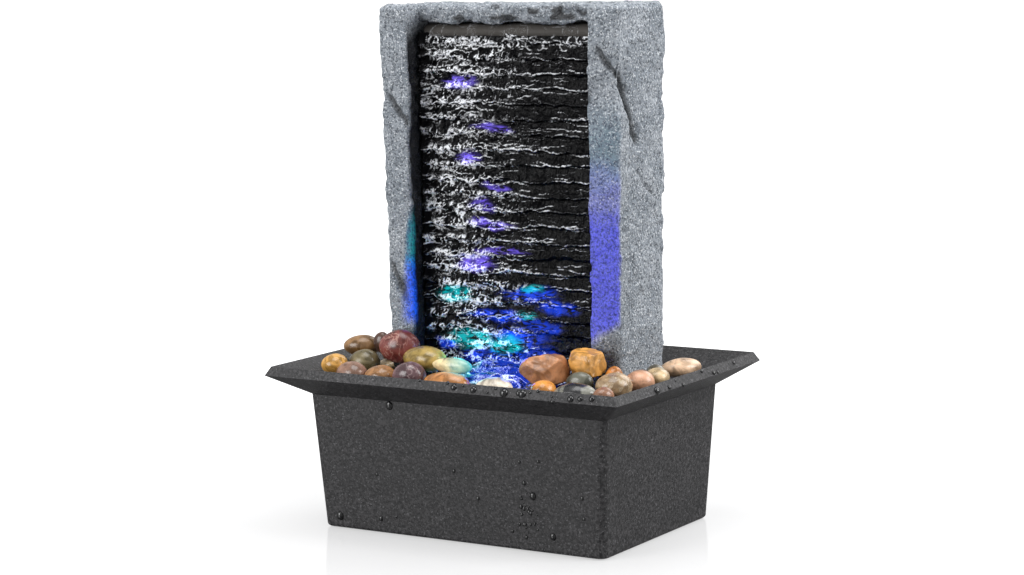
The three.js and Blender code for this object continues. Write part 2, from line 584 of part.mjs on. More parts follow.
// ---- Pebbles: river stones lying on the deck round the tower's foot ----
// Each has its middle, its length, width and height, the turn of its length from X, and its colour.
const PEBBLES = {
  yellow: { at: [-81.8, -38.4, 79.8], size: [14, 13, 11], turn: 20, colour: 0xd9a14c },
  mauve: { at: [-67.5, -44.3, 76.8], size: [19, 14, 13], turn: -10, colour: 0x8d6a58 },
  brown: { at: [-49.9, -44.5, 76.6], size: [17, 14, 12], turn: 5, colour: 0xa9784a },
  purple: { at: [-33, -44.2, 78.2], size: [17, 14, 14.5], turn: 12, colour: 0x6a4e52 },
  orange: { at: [-10.4, -45.4, 76.2], size: [27, 14, 12], turn: -4, colour: 0xc98547 },
  white: { at: [16.5, -45, 76], size: [19.5, 14, 11], turn: 6, colour: 0xe2d3c0 },
  amber: { at: [43.5, -44.5, 76.6], size: [13, 13, 11], turn: 0, colour: 0xd28a3a },
  striped: { at: [61.1, -44.4, 76.2], size: [22, 13, 11.5], turn: 8, colour: 0x8a8a80 },
  chestnut: { at: [77, -45.5, 76.4], size: [11, 9, 10], turn: 60, colour: 0x8b6148 },
  olive: { at: [-71.7, -27.2, 79.5], size: [17, 14, 14], turn: 15, colour: 0x6b6040 },
  crimson: { at: [-53.5, -22.2, 88.3], size: [22, 14, 17], turn: 10, colour: 0x6e3029 },
  ochre: { at: [-33.4, -29.8, 84.6], size: [26, 16, 13], turn: -8, colour: 0xa58a45 },
  cream: { at: [-12, -37.6, 84], size: [24, 8, 8], turn: -3, colour: 0xe0c793 },
  rose_rock: { at: [34.5, -28, 82.2], size: [25, 17, 20], turn: 24, colour: 0xb87f55, rough: true },
  gold_rock: { at: [55, -22.8, 87], size: [20, 15, 18], turn: -12, colour: 0xcf9444, rough: true },
  moss: { at: [57.5, -33.8, 80], size: [14, 8, 11], turn: 8, colour: 0x3f4034 },
  tangerine: { at: [67.6, -18.6, 80.6], size: [10, 9, 12], turn: 80, colour: 0xc4792f },
  tan: { at: [74.6, -31, 79.2], size: [18, 17, 13], turn: 30, colour: 0xa68a68 },
  pink: { at: [77.8, -11.9, 78.4], size: [15, 14, 12], turn: 40, colour: 0xb98a6c },
  slate: { at: [72.6, 13.2, 78.4], size: [11, 10, 9], turn: 90, colour: 0x77705f },
  sand: { at: [79.8, 1.6, 78.6], size: [13, 13, 10], turn: 30, colour: 0xc9ae84 },
  shell: { at: [77.5, 30.5, 79], size: [23, 14, 9.5], turn: 62, colour: 0xd0ad8c },
  walnut: { at: [-83, -12.5, 85.5], size: [19, 13, 11], turn: 25, colour: 0x86633c },
  umber: { at: [-69, -15.2, 88.5], size: [9, 6.5, 11], turn: 10, colour: 0x5c3f31 },
};

// Points spread evenly over an egg; rough stones are squarer and lumpier.
function pebbleShape([length, width, height], turn, rough) {
  const count = 64;
  const goldenAngle = Math.PI * (3 - Math.sqrt(5));
  const points = Array.from({ length: count }, (_, i) => {
    const up = 1 - (2 * i + 1) / count;
    const round = Math.sqrt(1 - up * up);
    const direction = new THREE.Vector3(round * Math.cos(i * goldenAngle), round * Math.sin(i * goldenAngle), up);
    const swell = rough ? 1 - 0.1 * Math.abs(Math.sin(3 * direction.x + 5 * direction.y + length)) : 1;
    const taper = 1 + 0.1 * direction.x;
    return direction.multiply(new THREE.Vector3(length, width * taper, height * taper)).multiplyScalar(swell / 2);
  });
  return new ConvexGeometry(points).rotateZ(THREE.MathUtils.degToRad(turn));
}

for (const [name, pebble] of Object.entries(PEBBLES)) {
  const shape = pebbleShape(pebble.size, pebble.turn, pebble.rough);
  add(fountain, `pebble_${name}`, shape, material(pebble.colour, 0.35), ...pebble.at);
}

export default fountain;
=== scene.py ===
"""Tabletop water fountain: the looks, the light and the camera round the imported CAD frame.

Metres, +Z up, the front towards -Y. Sizes in millimetres are turned into metres by MM.
"""

import json
import math

import bmesh
import bpy
import numpy as np
from mathutils import Matrix, Vector


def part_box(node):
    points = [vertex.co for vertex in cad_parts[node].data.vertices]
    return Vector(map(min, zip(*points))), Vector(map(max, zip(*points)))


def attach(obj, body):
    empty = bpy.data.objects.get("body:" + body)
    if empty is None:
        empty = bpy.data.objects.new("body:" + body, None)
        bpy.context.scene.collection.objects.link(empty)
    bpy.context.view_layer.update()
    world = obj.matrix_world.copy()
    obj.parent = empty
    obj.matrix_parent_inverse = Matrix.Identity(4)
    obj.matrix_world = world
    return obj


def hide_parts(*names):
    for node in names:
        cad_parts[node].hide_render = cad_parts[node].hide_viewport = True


MM = 0.001
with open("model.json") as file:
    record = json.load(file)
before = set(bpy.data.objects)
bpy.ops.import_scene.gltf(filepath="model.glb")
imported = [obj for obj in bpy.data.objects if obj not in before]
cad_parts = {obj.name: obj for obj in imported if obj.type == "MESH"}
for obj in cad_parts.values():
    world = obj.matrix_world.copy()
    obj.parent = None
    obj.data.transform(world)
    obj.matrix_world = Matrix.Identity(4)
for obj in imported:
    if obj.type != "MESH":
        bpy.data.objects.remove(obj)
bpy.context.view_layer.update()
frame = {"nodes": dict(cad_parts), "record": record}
NODES = frame["nodes"]
SLOT_OF = {part["node"]: part["material_slot"] for part in frame["record"]["subparts"]}
COLOUR_OF = {entry["slot"]: entry["base_color"] for entry in frame["record"]["materials"]}

# ---- Where things are, from the frame ----
PANEL_LOW, PANEL_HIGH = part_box("ridged_panel")
LAMP_MIDDLE = sum(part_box("lamp_lens"), Vector()) / 2
TOWER_GAP = 0.3 * MM  # between the tower's foot and the deck
DECK_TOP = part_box("rock_surround")[0].z - TOWER_GAP


# ---- Numbers: smooth noise on points, the same on every run ----
def lattice(ix, iy, iz, seed):
    """A value from -1 to 1 for each whole-numbered point, its bits mixed by large primes."""
    mixed = ix * 374761393 + iy * 668265263 + iz * 1440662683 + seed * 1274126177
    mixed = mixed & 0xFFFFFFFF
    mixed = ((mixed ^ (mixed >> 13)) * 1274126177) & 0xFFFFFFFF
    return ((mixed ^ (mixed >> 16)) & 0xFFFF) / 32768.0 - 1.0


def noise(points, size, seed=0):
    """Smooth noise from -1 to 1, its lumps about as wide as size."""
    scaled = np.asarray(points, float) / size
    cell = np.floor(scaled).astype(np.int64)
    part = scaled - cell
    part = part * part * part * (part * (part * 6 - 15) + 10)
    total = np.zeros(len(scaled))
    for corner in np.ndindex(2, 2, 2):
        weight = np.prod([part[:, k] if corner[k] else 1 - part[:, k] for k in range(3)], axis=0)
        total += weight * lattice(*(cell[:, k] + corner[k] for k in range(3)), seed)
    return total


def fractal(points, size, octaves, seed=0):
    """Noise with finer noise on top, each layer half as wide and half as strong."""
    return sum(noise(points, size / 2**k, seed + k) / 2**k for k in range(octaves))


def ridged(points, size, seed=0):
    """1 along thin winding lines, 0 far from them."""
    return 1 - np.abs(noise(points, size, seed))


def winding(points, size, seed, bend, bend_size, stretch=(1, 1, 1)):
    """1 along thin lines about size apart, bent by up to bend (millimetres). Uses seed and the next."""
    sideways = bend * MM * noise(points, bend_size * MM, seed)[:, None]
    return ridged(points * stretch + sideways, size * MM, seed + 1)


def smooth(low, high, value):
    """0 up to low, 1 from high on, and an S-curve between. Where low is the larger, it falls instead."""
    t = np.clip((value - low) / (high - low), 0, 1)
    return t * t * (3 - 2 * t)


# ---- Meshes ----
def add_object(name, data):
    """A new object in the scene."""
    made = bpy.data.objects.new(name, data)
    bpy.context.scene.collection.objects.link(made)
    return made


def piece(name, vertices, faces, body, look):
    """A new smooth-shaded mesh object that rides on a body."""
    mesh = bpy.data.meshes.new(name)
    mesh.from_pydata([tuple(v) for v in vertices], [], [tuple(f) for f in faces])
    mesh.validate()
    mesh.shade_smooth()
    mesh.materials.append(look)
    made = add_object(name, mesh)
    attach(made, body)
    return made


def read_rows(items, name):
    """Three numbers for each item, one row each."""
    rows = np.empty(len(items) * 3)
    items.foreach_get(name, rows)
    return rows.reshape(-1, 3)


def read_points(mesh):
    return read_rows(mesh.vertices, "co")


def read_normals(mesh):
    return read_rows(mesh.vertex_normals, "vector")


def write_points(mesh, points):
    mesh.vertices.foreach_set("co", points.ravel())
    mesh.update()


def reshaped_copy(node, name, modifier, **settings):
    """A copy of a CAD node's mesh with one modifier applied to it."""
    source = add_object(name + "_source", NODES[node].data.copy())
    welded = bmesh.new()
    welded.from_mesh(source.data)
    bmesh.ops.remove_doubles(welded, verts=welded.verts, dist=0.01 * MM)
    welded.to_mesh(source.data)
    welded.free()
    shaping = source.modifiers.new("shaping", modifier)
    for key, value in settings.items():
        setattr(shaping, key, value)
    evaluated = source.evaluated_get(bpy.context.evaluated_depsgraph_get())
    mesh = bpy.data.meshes.new_from_object(evaluated)
    bpy.data.objects.remove(source)
    mesh.materials.clear()
    return add_object(name, mesh)


def grid_faces(grid):
    """The faces of a grid of points, rows x columns x 3, and the numbers of the points round its edge."""
    rows, columns = grid.shape[:2]
    index = np.arange(rows * columns).reshape(rows, columns)
    quads = np.stack([index[:-1, :-1], index[:-1, 1:], index[1:, 1:], index[1:, :-1]], -1).reshape(-1, 4)
    ring = np.concatenate([index[0, :], index[1:, -1], index[-1, -2::-1], index[-2:0:-1, 0]])
    return quads, ring


def grid_block(front, back):
    """Vertices and faces of a closed block between two grids of points."""
    quads, ring = grid_faces(front)
    vertices = np.concatenate([front.reshape(-1, 3), back.reshape(-1, 3)])
    behind = len(vertices) // 2
    after = np.roll(ring, -1)
    sides = np.stack([after, ring, ring + behind, after + behind], -1)
    return vertices, np.concatenate([quads, quads[:, ::-1] + behind, sides])


def relief_block(front, back_y):
    """Vertices and faces of a block with a detailed front and one flat face behind it."""
    quads, ring = grid_faces(front)
    points = front.reshape(-1, 3)
    far = points[ring]
    far[:, 1] = back_y
    behind = len(points) + np.arange(len(ring))
    sides = np.stack([np.roll(ring, -1), ring, behind, np.roll(behind, -1)], -1)
    return np.concatenate([points, far]), [*quads.tolist(), *sides.tolist(), behind[::-1].tolist()]


def set_values(mesh, name, values):
    """Keeps one number per vertex for the material to read."""
    mesh.attributes.new(name, "FLOAT", "POINT").data.foreach_set("value", values.astype(np.float32))


def set_colours(mesh, colours, cover):
    """Keeps the lamp's colour at each vertex, and how much it covers, for the material to read."""
    values = np.concatenate([colours, cover[:, None]], 1).astype(np.float32)
    mesh.attributes.new("lamp_glow", "FLOAT_COLOR", "POINT").data.foreach_set("color", values.ravel())


# ---- Materials: small helpers over the node tree ----
class Look:
    """A material under construction: a Principled shader and the nodes that feed it."""

    def __init__(self, name, colour, roughness, **values):
        self.material = bpy.data.materials.new(name)
        self.material.use_nodes = True
        self.tree = self.material.node_tree
        self.shader = self.tree.nodes["Principled BSDF"]
        self.shader.inputs["Base Color"].default_value = (*colour[:3], 1)
        self.shader.inputs["Roughness"].default_value = roughness
        for socket, value in values.items():
            self.shader.inputs[socket.replace("_", " ")].default_value = value

    def node(self, kind, inputs=(), **settings):
        """A new shader node, each of its inputs a value or a socket to link to."""
        made = self.tree.nodes.new("ShaderNode" + kind)
        for key, value in settings.items():
            setattr(made, key, value)
        for socket, value in dict(inputs).items():
            if isinstance(value, bpy.types.NodeSocket):
                self.tree.links.new(value, made.inputs[socket])
            else:
                made.inputs[socket].default_value = value
        return made

    def feed(self, socket, source):
        """Links a node's output to the Principled shader."""
        self.tree.links.new(source, self.shader.inputs[socket])
        return self

    def place(self, stretch=(1, 1, 1)):
        """Points of the object, stretched."""
        coordinates = self.node("TexCoord").outputs["Object"]
        return self.node("Mapping", {"Vector": coordinates, "Scale": stretch}).outputs["Vector"]

    def noise(self, per_metre, detail=2.0, roughness=0.5, distortion=0.0, stretch=(1, 1, 1)):
        inputs = {"Vector": self.place(stretch), "Scale": per_metre, "Detail": detail}
        inputs |= {"Roughness": roughness, "Distortion": distortion}
        return self.node("TexNoise", inputs).outputs["Fac"]

    def value(self, name):
        """One number per vertex, as set_values keeps it."""
        return self.node("Attribute", attribute_name=name).outputs["Fac"]

    def glow(self, part):
        """The lamp's light, as set_colours keeps it: its Color, or its cover as Alpha."""
        return self.node("Attribute", attribute_name="lamp_glow").outputs[part]

    def math(self, operation, a, b=0.0):
        return self.node("Math", {0: a, 1: b}, operation=operation).outputs[0]

    def span(self, value, low, high, to_low=0.0, to_high=1.0):
        """value from low..high, smoothly turned into to_low..to_high."""
        inputs = {"Value": value, "From Min": low, "From Max": high, "To Min": to_low, "To Max": to_high}
        return self.node("MapRange", inputs, interpolation_type="SMOOTHSTEP").outputs["Result"]

    def blend(self, amount, first, second):
        """Mixes two colours, each a colour or a socket."""
        mix = self.node("Mix", data_type="RGBA")
        for socket, value in ((0, amount), (6, first), (7, second)):
            if isinstance(value, bpy.types.NodeSocket):
                self.tree.links.new(value, mix.inputs[socket])
            elif socket:
                mix.inputs[socket].default_value = (*value[:3], 1)
            else:
                mix.inputs[socket].default_value = value
        return mix.outputs[2]

    def bump(self, height, depth_mm, strength=1.0):
        inputs = {"Height": height, "Distance": depth_mm * MM, "Strength": strength}
        return self.feed("Normal", self.node("Bump", inputs).outputs["Normal"])


def moulded_plastic(name, colour, roughness, grain):
    """Plastic with a fine spark-eroded grain and slightly uneven gloss."""
    look = Look(name, colour, roughness)
    uneven = look.noise(60, 3)
    darker = [0.8 * c for c in colour[:3]]
    look.feed("Base Color", look.blend(look.span(uneven, 0.35, 0.65), darker, colour))
    look.feed("Roughness", look.span(uneven, 0.3, 0.7, roughness - 0.06, roughness + 0.08))
    look.bump(look.noise(grain, 2), 0.05, 0.5)
    return look.material


def basin_plastic():
    """Charcoal plastic with a hammered grain and pale specks."""
    look = Look("basin_plastic", (0.03, 0.03, 0.032), 0.5, Specular_IOR_Level=0.45)
    grain = look.noise(700, 3, 0.7)
    blotches = look.noise(90, 3, 0.6)
    specks = look.span(look.noise(1000, 1, 0.4), 0.64, 0.72)
    tone = look.blend(look.span(grain, 0.38, 0.64), (0.004, 0.004, 0.005), (0.06, 0.058, 0.061))
    tone = look.blend(look.span(blotches, 0.35, 0.65, 0.0, 0.35), tone, (0.014, 0.014, 0.015))
    look.feed("Base Color", look.blend(look.math("MULTIPLY", specks, 0.4), tone, (0.22, 0.22, 0.23)))
    look.feed("Roughness", look.span(grain, 0.3, 0.7, 0.45, 0.62))
    look.bump(grain, 0.35, 0.8)
    return look.material


def wet_stone():
    """Cast stone: blue-grey and granular, black and glossy where wet and in the painted shade of the
    cracks, with the lamp's light on it.
    """
    look = Look("cast_stone", (0.3, 0.33, 0.37), 0.85)
    patches = look.noise(70, 4, 0.6)
    grains = look.noise(800, 3, 0.7)
    specks = look.noise(1100, 1, 0.5)
    dry = look.blend(look.span(patches, 0.3, 0.7), (0.22, 0.25, 0.285), (0.36, 0.39, 0.43))
    dry = look.blend(look.span(grains, 0.38, 0.52, 0.85, 0.0), dry, (0.05, 0.06, 0.075))
    dry = look.blend(look.span(specks, 0.58, 0.68, 0.0, 0.8), dry, (0.75, 0.78, 0.82))
    # The wet colour also paints shade into the stone's cracks.
    wetness_and_crack_shade = look.value("wetness_and_crack_shade")
    wet = look.blend(look.span(grains, 0.4, 0.65), (0.003, 0.0035, 0.005), (0.022, 0.025, 0.03))
    tone = look.blend(wetness_and_crack_shade, dry, wet)
    tone = look.blend(look.math("MULTIPLY", look.glow("Alpha"), 0.85), tone, (0.02, 0.03, 0.13))
    look.feed("Base Color", tone)
    look.feed("Emission Color", look.glow("Color"))
    look.feed("Emission Strength", look.span(grains, 0.35, 0.62, 0.2, 1.1))
    look.feed("Roughness", look.span(wetness_and_crack_shade, 0.0, 1.0, 0.85, 0.2))
    look.bump(look.math("ADD", grains, look.math("MULTIPLY", specks, 0.5)), 0.9, 0.9)
    return look.material


def running_water(name, deep, streaks=0.5):
    """Black stone seen through a thin film of water, with white foam, painted glints of light, and the
    lamp's colours in it.
    """
    look = Look(name, deep, 0.07, IOR=1.3, Specular_IOR_Level=0.12)
    foam_and_glints = look.value("foam_and_glints")
    threads = look.noise(420, 3, 0.65, 1.2, (1.3, 1, 0.8))
    off_line = look.math("ABSOLUTE", look.math("SUBTRACT", threads, 0.5))
    # Thin white lines in the water film: painted glints of light.
    fine = look.span(off_line, 0.0, 0.022, streaks, 0.0)
    fine = look.math("MULTIPLY", fine, look.span(look.noise(120, 2, 0.5), 0.42, 0.62))
    broken = look.span(look.noise(900, 2, 0.6), 0.34, 0.56, 0.3, 1.15)
    # White foam together with painted glints, as kept on the mesh.
    froth_and_glints = look.math("MULTIPLY", foam_and_glints, broken)
    froth_and_glints = look.span(look.math("MAXIMUM", froth_and_glints, fine), 0.12, 1.0)
    look.feed("Base Color", look.blend(froth_and_glints, deep, (0.86, 0.88, 0.92)))
    look.feed("Roughness", look.span(froth_and_glints, 0.0, 1.0, 0.07, 0.4))
    look.feed("Emission Color", look.glow("Color"))
    strokes = look.span(look.noise(150, 4, 0.65, 1.2, (0.8, 1, 2.6)), 0.42, 0.54, 0.02, 0.85)
    look.feed("Emission Strength", look.math("ADD", look.math("MULTIPLY", froth_and_glints, 0.5), strokes))
    look.bump(look.noise(700, 2, 0.6, 0.8), 0.5, 0.7)
    return look.material


def river_stone(name, colour, veins=None, bands=None, gloss=0.3, lamp_lit=False):
    """A wet river pebble: mottled, speckled, and veined or banded where asked."""
    look = Look(name, colour, gloss, Coat_Weight=0.35, Coat_Roughness=0.16)
    mottle = look.noise(130, 4, 0.6, 0.6)
    specks = look.noise(1300, 2, 0.6)
    dark, pale = [0.45 * c for c in colour[:3]], [min(1.0, 1.35 * c + 0.02) for c in colour[:3]]
    tone = look.blend(look.span(mottle, 0.32, 0.68), dark, pale)
    tone = look.blend(look.span(specks, 0.6, 0.72, 0.0, 0.35), tone, [0.3 * c for c in colour[:3]])
    if bands:
        tone = look.blend(look.value("band"), tone, bands)
    if veins:
        line = look.math("ABSOLUTE", look.math("SUBTRACT", look.noise(110, 3, 0.5, 1.2), 0.5))
        tone = look.blend(look.span(line, 0.0, 0.02, 0.8, 0.0), tone, veins)
    if lamp_lit:
        tone = look.blend(look.math("MULTIPLY", look.glow("Alpha"), 0.9), tone, (0.03, 0.16, 0.16))
        look.feed("Emission Color", look.glow("Color"))
        look.shader.inputs["Emission Strength"].default_value = 1.0
    look.feed("Base Color", tone)
    look.feed("Roughness", look.span(mottle, 0.3, 0.7, gloss - 0.08, gloss + 0.14))
    look.bump(specks, 0.12, 0.35)
    return look.material


def dark_water(name):
    """Water in a drop on dark plastic: it shows the plastic behind it, with sharp highlights."""
    look = Look(name, (0.004, 0.004, 0.005), 0.04, IOR=1.6)
    look.bump(look.noise(300, 1), 0.05, 0.2)
    return look.material


def clear_plastic(name, colour, glow=0.0):
    look = Look(name, colour, 0.15, Transmission_Weight=0.8, Emission_Color=(0.12, 0.25, 1.0, 1))
    look.shader.inputs["Emission Strength"].default_value = glow
    look.feed("Roughness", look.span(look.noise(200, 2), 0.3, 0.7, 0.1, 0.22))
    return look.material


def brushed_metal(name, colour):
    look = Look(name, colour, 0.3, Metallic=1.0)
    streaks = look.noise(500, 2, 0.5, 0.0, (1, 8, 1))
    look.feed("Roughness", look.span(streaks, 0.3, 0.7, 0.2, 0.38))
    look.bump(streaks, 0.02, 0.4)
    return look.material


# ---- CAD nodes that keep their shape: a material each, and a small radius on their edges ----
def dress(node, look, bevel_mm=0.0):
    """Gives a CAD node its material, and rounds its edges where asked."""
    thing = NODES[node]
    thing.data.materials.clear()
    thing.data.materials.append(look)
    if bevel_mm:
        bevel = thing.modifiers.new("edge_radius", "BEVEL")
        bevel.width = bevel_mm * MM
        bevel.segments = 2
        bevel.angle_limit = math.radians(28)
        thing.modifiers.new("even_shading", "WEIGHTED_NORMAL")


# What each moulded material is like, by slot: colour, roughness, and grains per metre.
MOULDED = {
    "trough_plastic": ((0.07, 0.065, 0.06), 0.25, 900),
    "deck_plastic": ((0.025, 0.025, 0.028), 0.4, 900),
    "cover_plastic": ((0.05, 0.053, 0.058), 0.6, 500),
    "pump_plastic": ((0.02, 0.02, 0.022), 0.42, 900),
    "lamp_plastic": ((0.02, 0.02, 0.022), 0.42, 900),
    "rubber": ((0.018, 0.018, 0.018), 0.8, 400),
    "lead_jacket": ((0.02, 0.02, 0.02), 0.5, 300),
    "sponge": ((0.03, 0.032, 0.035), 0.95, 350),
    "ceramic_shaft": ((0.8, 0.78, 0.73), 0.25, 300),
    "magnet": ((0.05, 0.05, 0.052), 0.45, 700),
    "impeller_plastic": ((0.65, 0.7, 0.73), 0.35, 900),
    "circuit_board": ((0.75, 0.75, 0.7), 0.4, 400),
}
ROUNDED = ("cover_plastic", "pump_plastic", "trough_plastic")  # slots whose edges get a small radius


def dress_inner_pieces():
    looks = {slot: moulded_plastic(slot, *values) for slot, values in MOULDED.items()}
    looks["screw_steel"] = brushed_metal("screw_steel", (0.6, 0.6, 0.6))
    looks["clear_hose"] = clear_plastic("clear_hose", (0.85, 0.9, 0.92))
    looks["lamp_lens"] = clear_plastic("lamp_lens", (0.7, 0.8, 1.0), 2.0)
    for node, slot in SLOT_OF.items():
        if slot in looks:
            dress(node, looks[slot], 0.25 if slot in ROUNDED else 0)


# ---- Cast stone tower ----
RECESS_HALF = 52.4  # half the width between the cheeks, millimetres
HOLLOW_HALF, HOLLOW_FRONT, HOLLOW_TOP = 61 * MM, 11.2 * MM, 252.4 * MM  # the smooth inside is left alone
VOXEL = 0.9 * MM  # spacing of the skin's vertices
# Millimetres the rough skin stands out of the CAD faces on average: to the left, to the right, elsewhere.
SWELL_LEFT, SWELL_RIGHT, SWELL = 1.3, 0.0, 0.4

# Chisel cracks: the face, a point on the line, its slope, how far it runs each way, width and depth (mm).
# On the right and left faces a point is (y, z); on the front of the cheeks it is (x, z).
CRACKS = (
    ("right", (0, 208), -65, 24, 1.7, 2.8),
    ("right", (17, 170), -40, 14, 1.0, 0.9),
    ("right", (20, 228), 35, 12, 0.9, 0.7),
    ("right", (8, 128), -55, 18, 1.0, 0.9),
    ("front", (61, 230), -50, 12, 1.3, 2.0),
    ("front", (60, 222), 72, 14, 0.9, 0.7),
    ("front", (-58, 205), -49, 14, 1.3, 2.0),
    ("front", (-61, 178), -35, 8, 0.8, 0.6),
    ("front", (-60, 119), -59, 16, 1.3, 2.0),
    ("front", (60, 140), 40, 8, 0.8, 0.6),
    ("left", (5, 190), -60, 22, 1.2, 1.5),
    ("left", (18, 130), 45, 18, 1.0, 1.0),
)


def crack_depth(points, normals):
    """How far each point sinks, in millimetres, into the chisel cracks."""
    sink = np.zeros(len(points))
    nx, ny, _ = normals.T
    faces = {"right": (1, nx > 0.6), "left": (1, nx < -0.6), "front": (0, ny < -0.6)}
    wander = 1.6 * noise(points, 7 * MM, 31) + 0.6 * noise(points, 2.4 * MM, 32)
    for face, (along, height), slope, reach, width, depth in CRACKS:
        axis, on_face = faces[face]
        run, rise = math.cos(math.radians(slope)), math.sin(math.radians(slope))
        du = points[:, axis] / MM - along
        dv = points[:, 2] / MM - height
        off = dv * run - du * rise + wander
        on = du * run + dv * rise
        fade = smooth(reach, 0.55 * reach, np.abs(on)) * on_face
        ledge = 0.45 * depth * smooth(-0.4, 0.4, off) * smooth(6 * width, 0, np.abs(off))
        sink += fade * (depth * np.exp(-((off / width) ** 2)) + ledge)
    return sink


def header_share(points):
    """1 on the front of the header between the cheeks, 0 elsewhere."""
    x, y, z = (points / MM).T
    between = smooth(RECESS_HALF + 1, RECESS_HALF - 2, np.abs(x)) * smooth(246, 248, z)
    return between * smooth(HOLLOW_FRONT / MM - 1, HOLLOW_FRONT / MM - 3, y)


def stone_wetness(points):
    """1 on the recess's side walls, less at the cheeks' feet and in streaks on the header, 0 where dry."""
    x, y, z = (points / MM).T
    ragged = 2.0 * noise(points, 9 * MM, 51) + noise(points, 3 * MM, 52)
    in_recess = smooth(RECESS_HALF + 1.3, RECESS_HALF + 0.4, np.abs(x))
    in_recess = in_recess * smooth(-10.6, -8.8, y + 0.3 * ragged)
    below_top = smooth(253, 240, z + ragged)
    foot = smooth(99, 90, z + 2 * ragged) * smooth(-3, -9, y) * 0.85
    streaks = smooth(0.0, 0.25, fractal(points * [1, 1, 2.2], 7 * MM, 3, 53))
    header = header_share(points) * smooth(257, 254.5, z + ragged) * (0.15 + 0.8 * streaks)
    return np.clip(np.maximum.reduce([in_recess * below_top, foot, header]), 0, 1)


# The lamp's colours as dry stone throws them back.
ON_STONE = {"violet": (0.06, 0.06, 0.6), "blue": (0.0, 0.08, 0.75), "teal": (0.0, 0.12, 0.12)}


def stone_glow(points):
    """The lamp's light on the cheeks: a colour, and how much of the stone's own colour it covers."""
    x, y, z = (points / MM).T
    front = smooth(-6, -9.5, y)
    height = z + 3 * noise(points, 14 * MM, 65) + 1.5 * noise(points, 5 * MM, 66)
    right = front * smooth(RECESS_HALF - 2, RECESS_HALF, x)
    left = front * smooth(-61.5 + 0.13 * (height - 100), -53.2, x) * (x < 0)
    strong = smooth(90, 98, height - 0.8 * (x - 52)) * smooth(163, 146, height)
    pale = 0.45 * smooth(146, 160, height) * smooth(188, 168, height)
    amounts = {
        "violet": right * (strong + pale),
        "blue": left * smooth(97, 106, height) * smooth(134, 124, height),
        "teal": 0.35 * right * smooth(166, 182, height) * smooth(218, 190, height)
        + 1.6 * left * smooth(122, 132, height) * smooth(160, 140, height),
    }
    colour = sum(amount[:, None] * np.array(ON_STONE[name]) for name, amount in amounts.items())
    return colour, np.clip(sum(amounts.values()), 0, 1)


def stone_relief(points, normals, cracks):
    """How far the rough skin stands out of the CAD's faces, in millimetres."""
    lumps = 0.35 * fractal(points, 19 * MM, 2, 11)
    grit = 0.3 * fractal(points, 3.0 * MM, 2, 15)
    pits = -0.6 * smooth(0.45, 0.75, noise(points, 4.4 * MM, 19))
    nodules = 0.45 * smooth(0.4, 0.7, noise(points, 3.6 * MM, 23))
    chips = header_share(points) * (1.1 * fractal(points * [1, 1, 1.8], 8 * MM, 3, 27) - 0.3)
    swell = np.where(normals[:, 0] < -0.6, SWELL_LEFT, np.where(normals[:, 0] > 0.6, SWELL_RIGHT, SWELL))
    x, y, z = points.T
    inside = (np.abs(x) < HOLLOW_HALF) & (y > HOLLOW_FRONT) & (z < HOLLOW_TOP)
    return np.where(inside, 0, swell + lumps + grit + pits + nodules + chips - cracks)


def stone_tower():
    tower = reshaped_copy("rock_surround", "stone_tower", "REMESH", mode="VOXEL", voxel_size=VOXEL)
    points, normals = read_points(tower.data), read_normals(tower.data)
    cracks = crack_depth(points, normals)
    write_points(tower.data, points + normals * (stone_relief(points, normals, cracks) * MM)[:, None])
    tower.data.shade_smooth()
    # The cracks take 0.8 of the wet colour: painted shade, darkening the creases.
    set_values(tower.data, "wetness_and_crack_shade", np.maximum(stone_wetness(points), 0.8 * smooth(0.5, 1.8, cracks)))
    set_colours(tower.data, *stone_glow(points))
    tower.data.materials.append(wet_stone())
    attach(tower, "tower")
    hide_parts("rock_surround")


# ---- Water ----
# The lamp's colours inside the water.
IN_WATER = {"violet": (0.2, 0.13, 0.95), "blue": (0.01, 0.07, 1.0), "teal": (0.0, 0.6, 0.66)}
# Patches of the lamp's light in the falling water: middle x and z, half width, half height (mm), colour.
GLOW_PATCHES = (
    (-30, 219, 9, 3.5, "violet"), (-12, 197, 11, 2.2, "violet"), (-26, 181, 7, 3.0, "violet"),
    (-10, 168, 8, 1.8, "violet"), (-18, 158, 7, 3.0, "violet"), (-13, 149, 12, 2.4, "violet"),
    (-23, 129, 10, 4.5, "violet"), (-8, 136, 14, 1.8, "violet"), (8, 115, 15, 3.2, "blue"),
    (10, 117, 7, 1.6, "teal"), (-36, 112, 9, 4.0, "teal"), (25, 109, 11, 3.4, "blue"),
    (-9, 103, 18, 3.6, "blue"), (6, 104, 6, 3.0, "teal"), (14, 99, 12, 3.6, "blue"),
    (-26, 91, 14, 4.6, "teal"), (-6, 89, 12, 5.0, "teal"), (2, 93, 18, 4.5, "blue"),
    (9, 84, 14, 5.5, "blue"), (-14, 83, 16, 5.0, "blue"), (-40, 88, 6, 3.0, "blue"),
)
PANEL_EDGE, PANEL_TOP = PANEL_HIGH.x / MM, PANEL_HIGH.z / MM
PANEL_COLUMNS, PANEL_ROWS = 235, 405
SIDE_GAP = 0.9995  # share of the panel's width that the wet one takes
RIDGES = 23
LEDGE_STEP = (PANEL_HIGH.z - PANEL_LOW.z) / MM / RIDGES
CREST = 0.62  # share of the way down a ledge where it stands out furthest
# Threads of white water and painted glints beside each crest: drop below it, sway, length of a stretch,
# width (mm), rarity.
STRANDS = (
    (0.0, 0.8, 20, 0.36, -0.4), (1.4, 1.2, 9, 0.25, 0.12), (-1.4, 1.3, 9, 0.24, 0.15),
    (2.9, 1.6, 7, 0.22, 0.3), (-2.8, 1.5, 7, 0.22, 0.3),
)


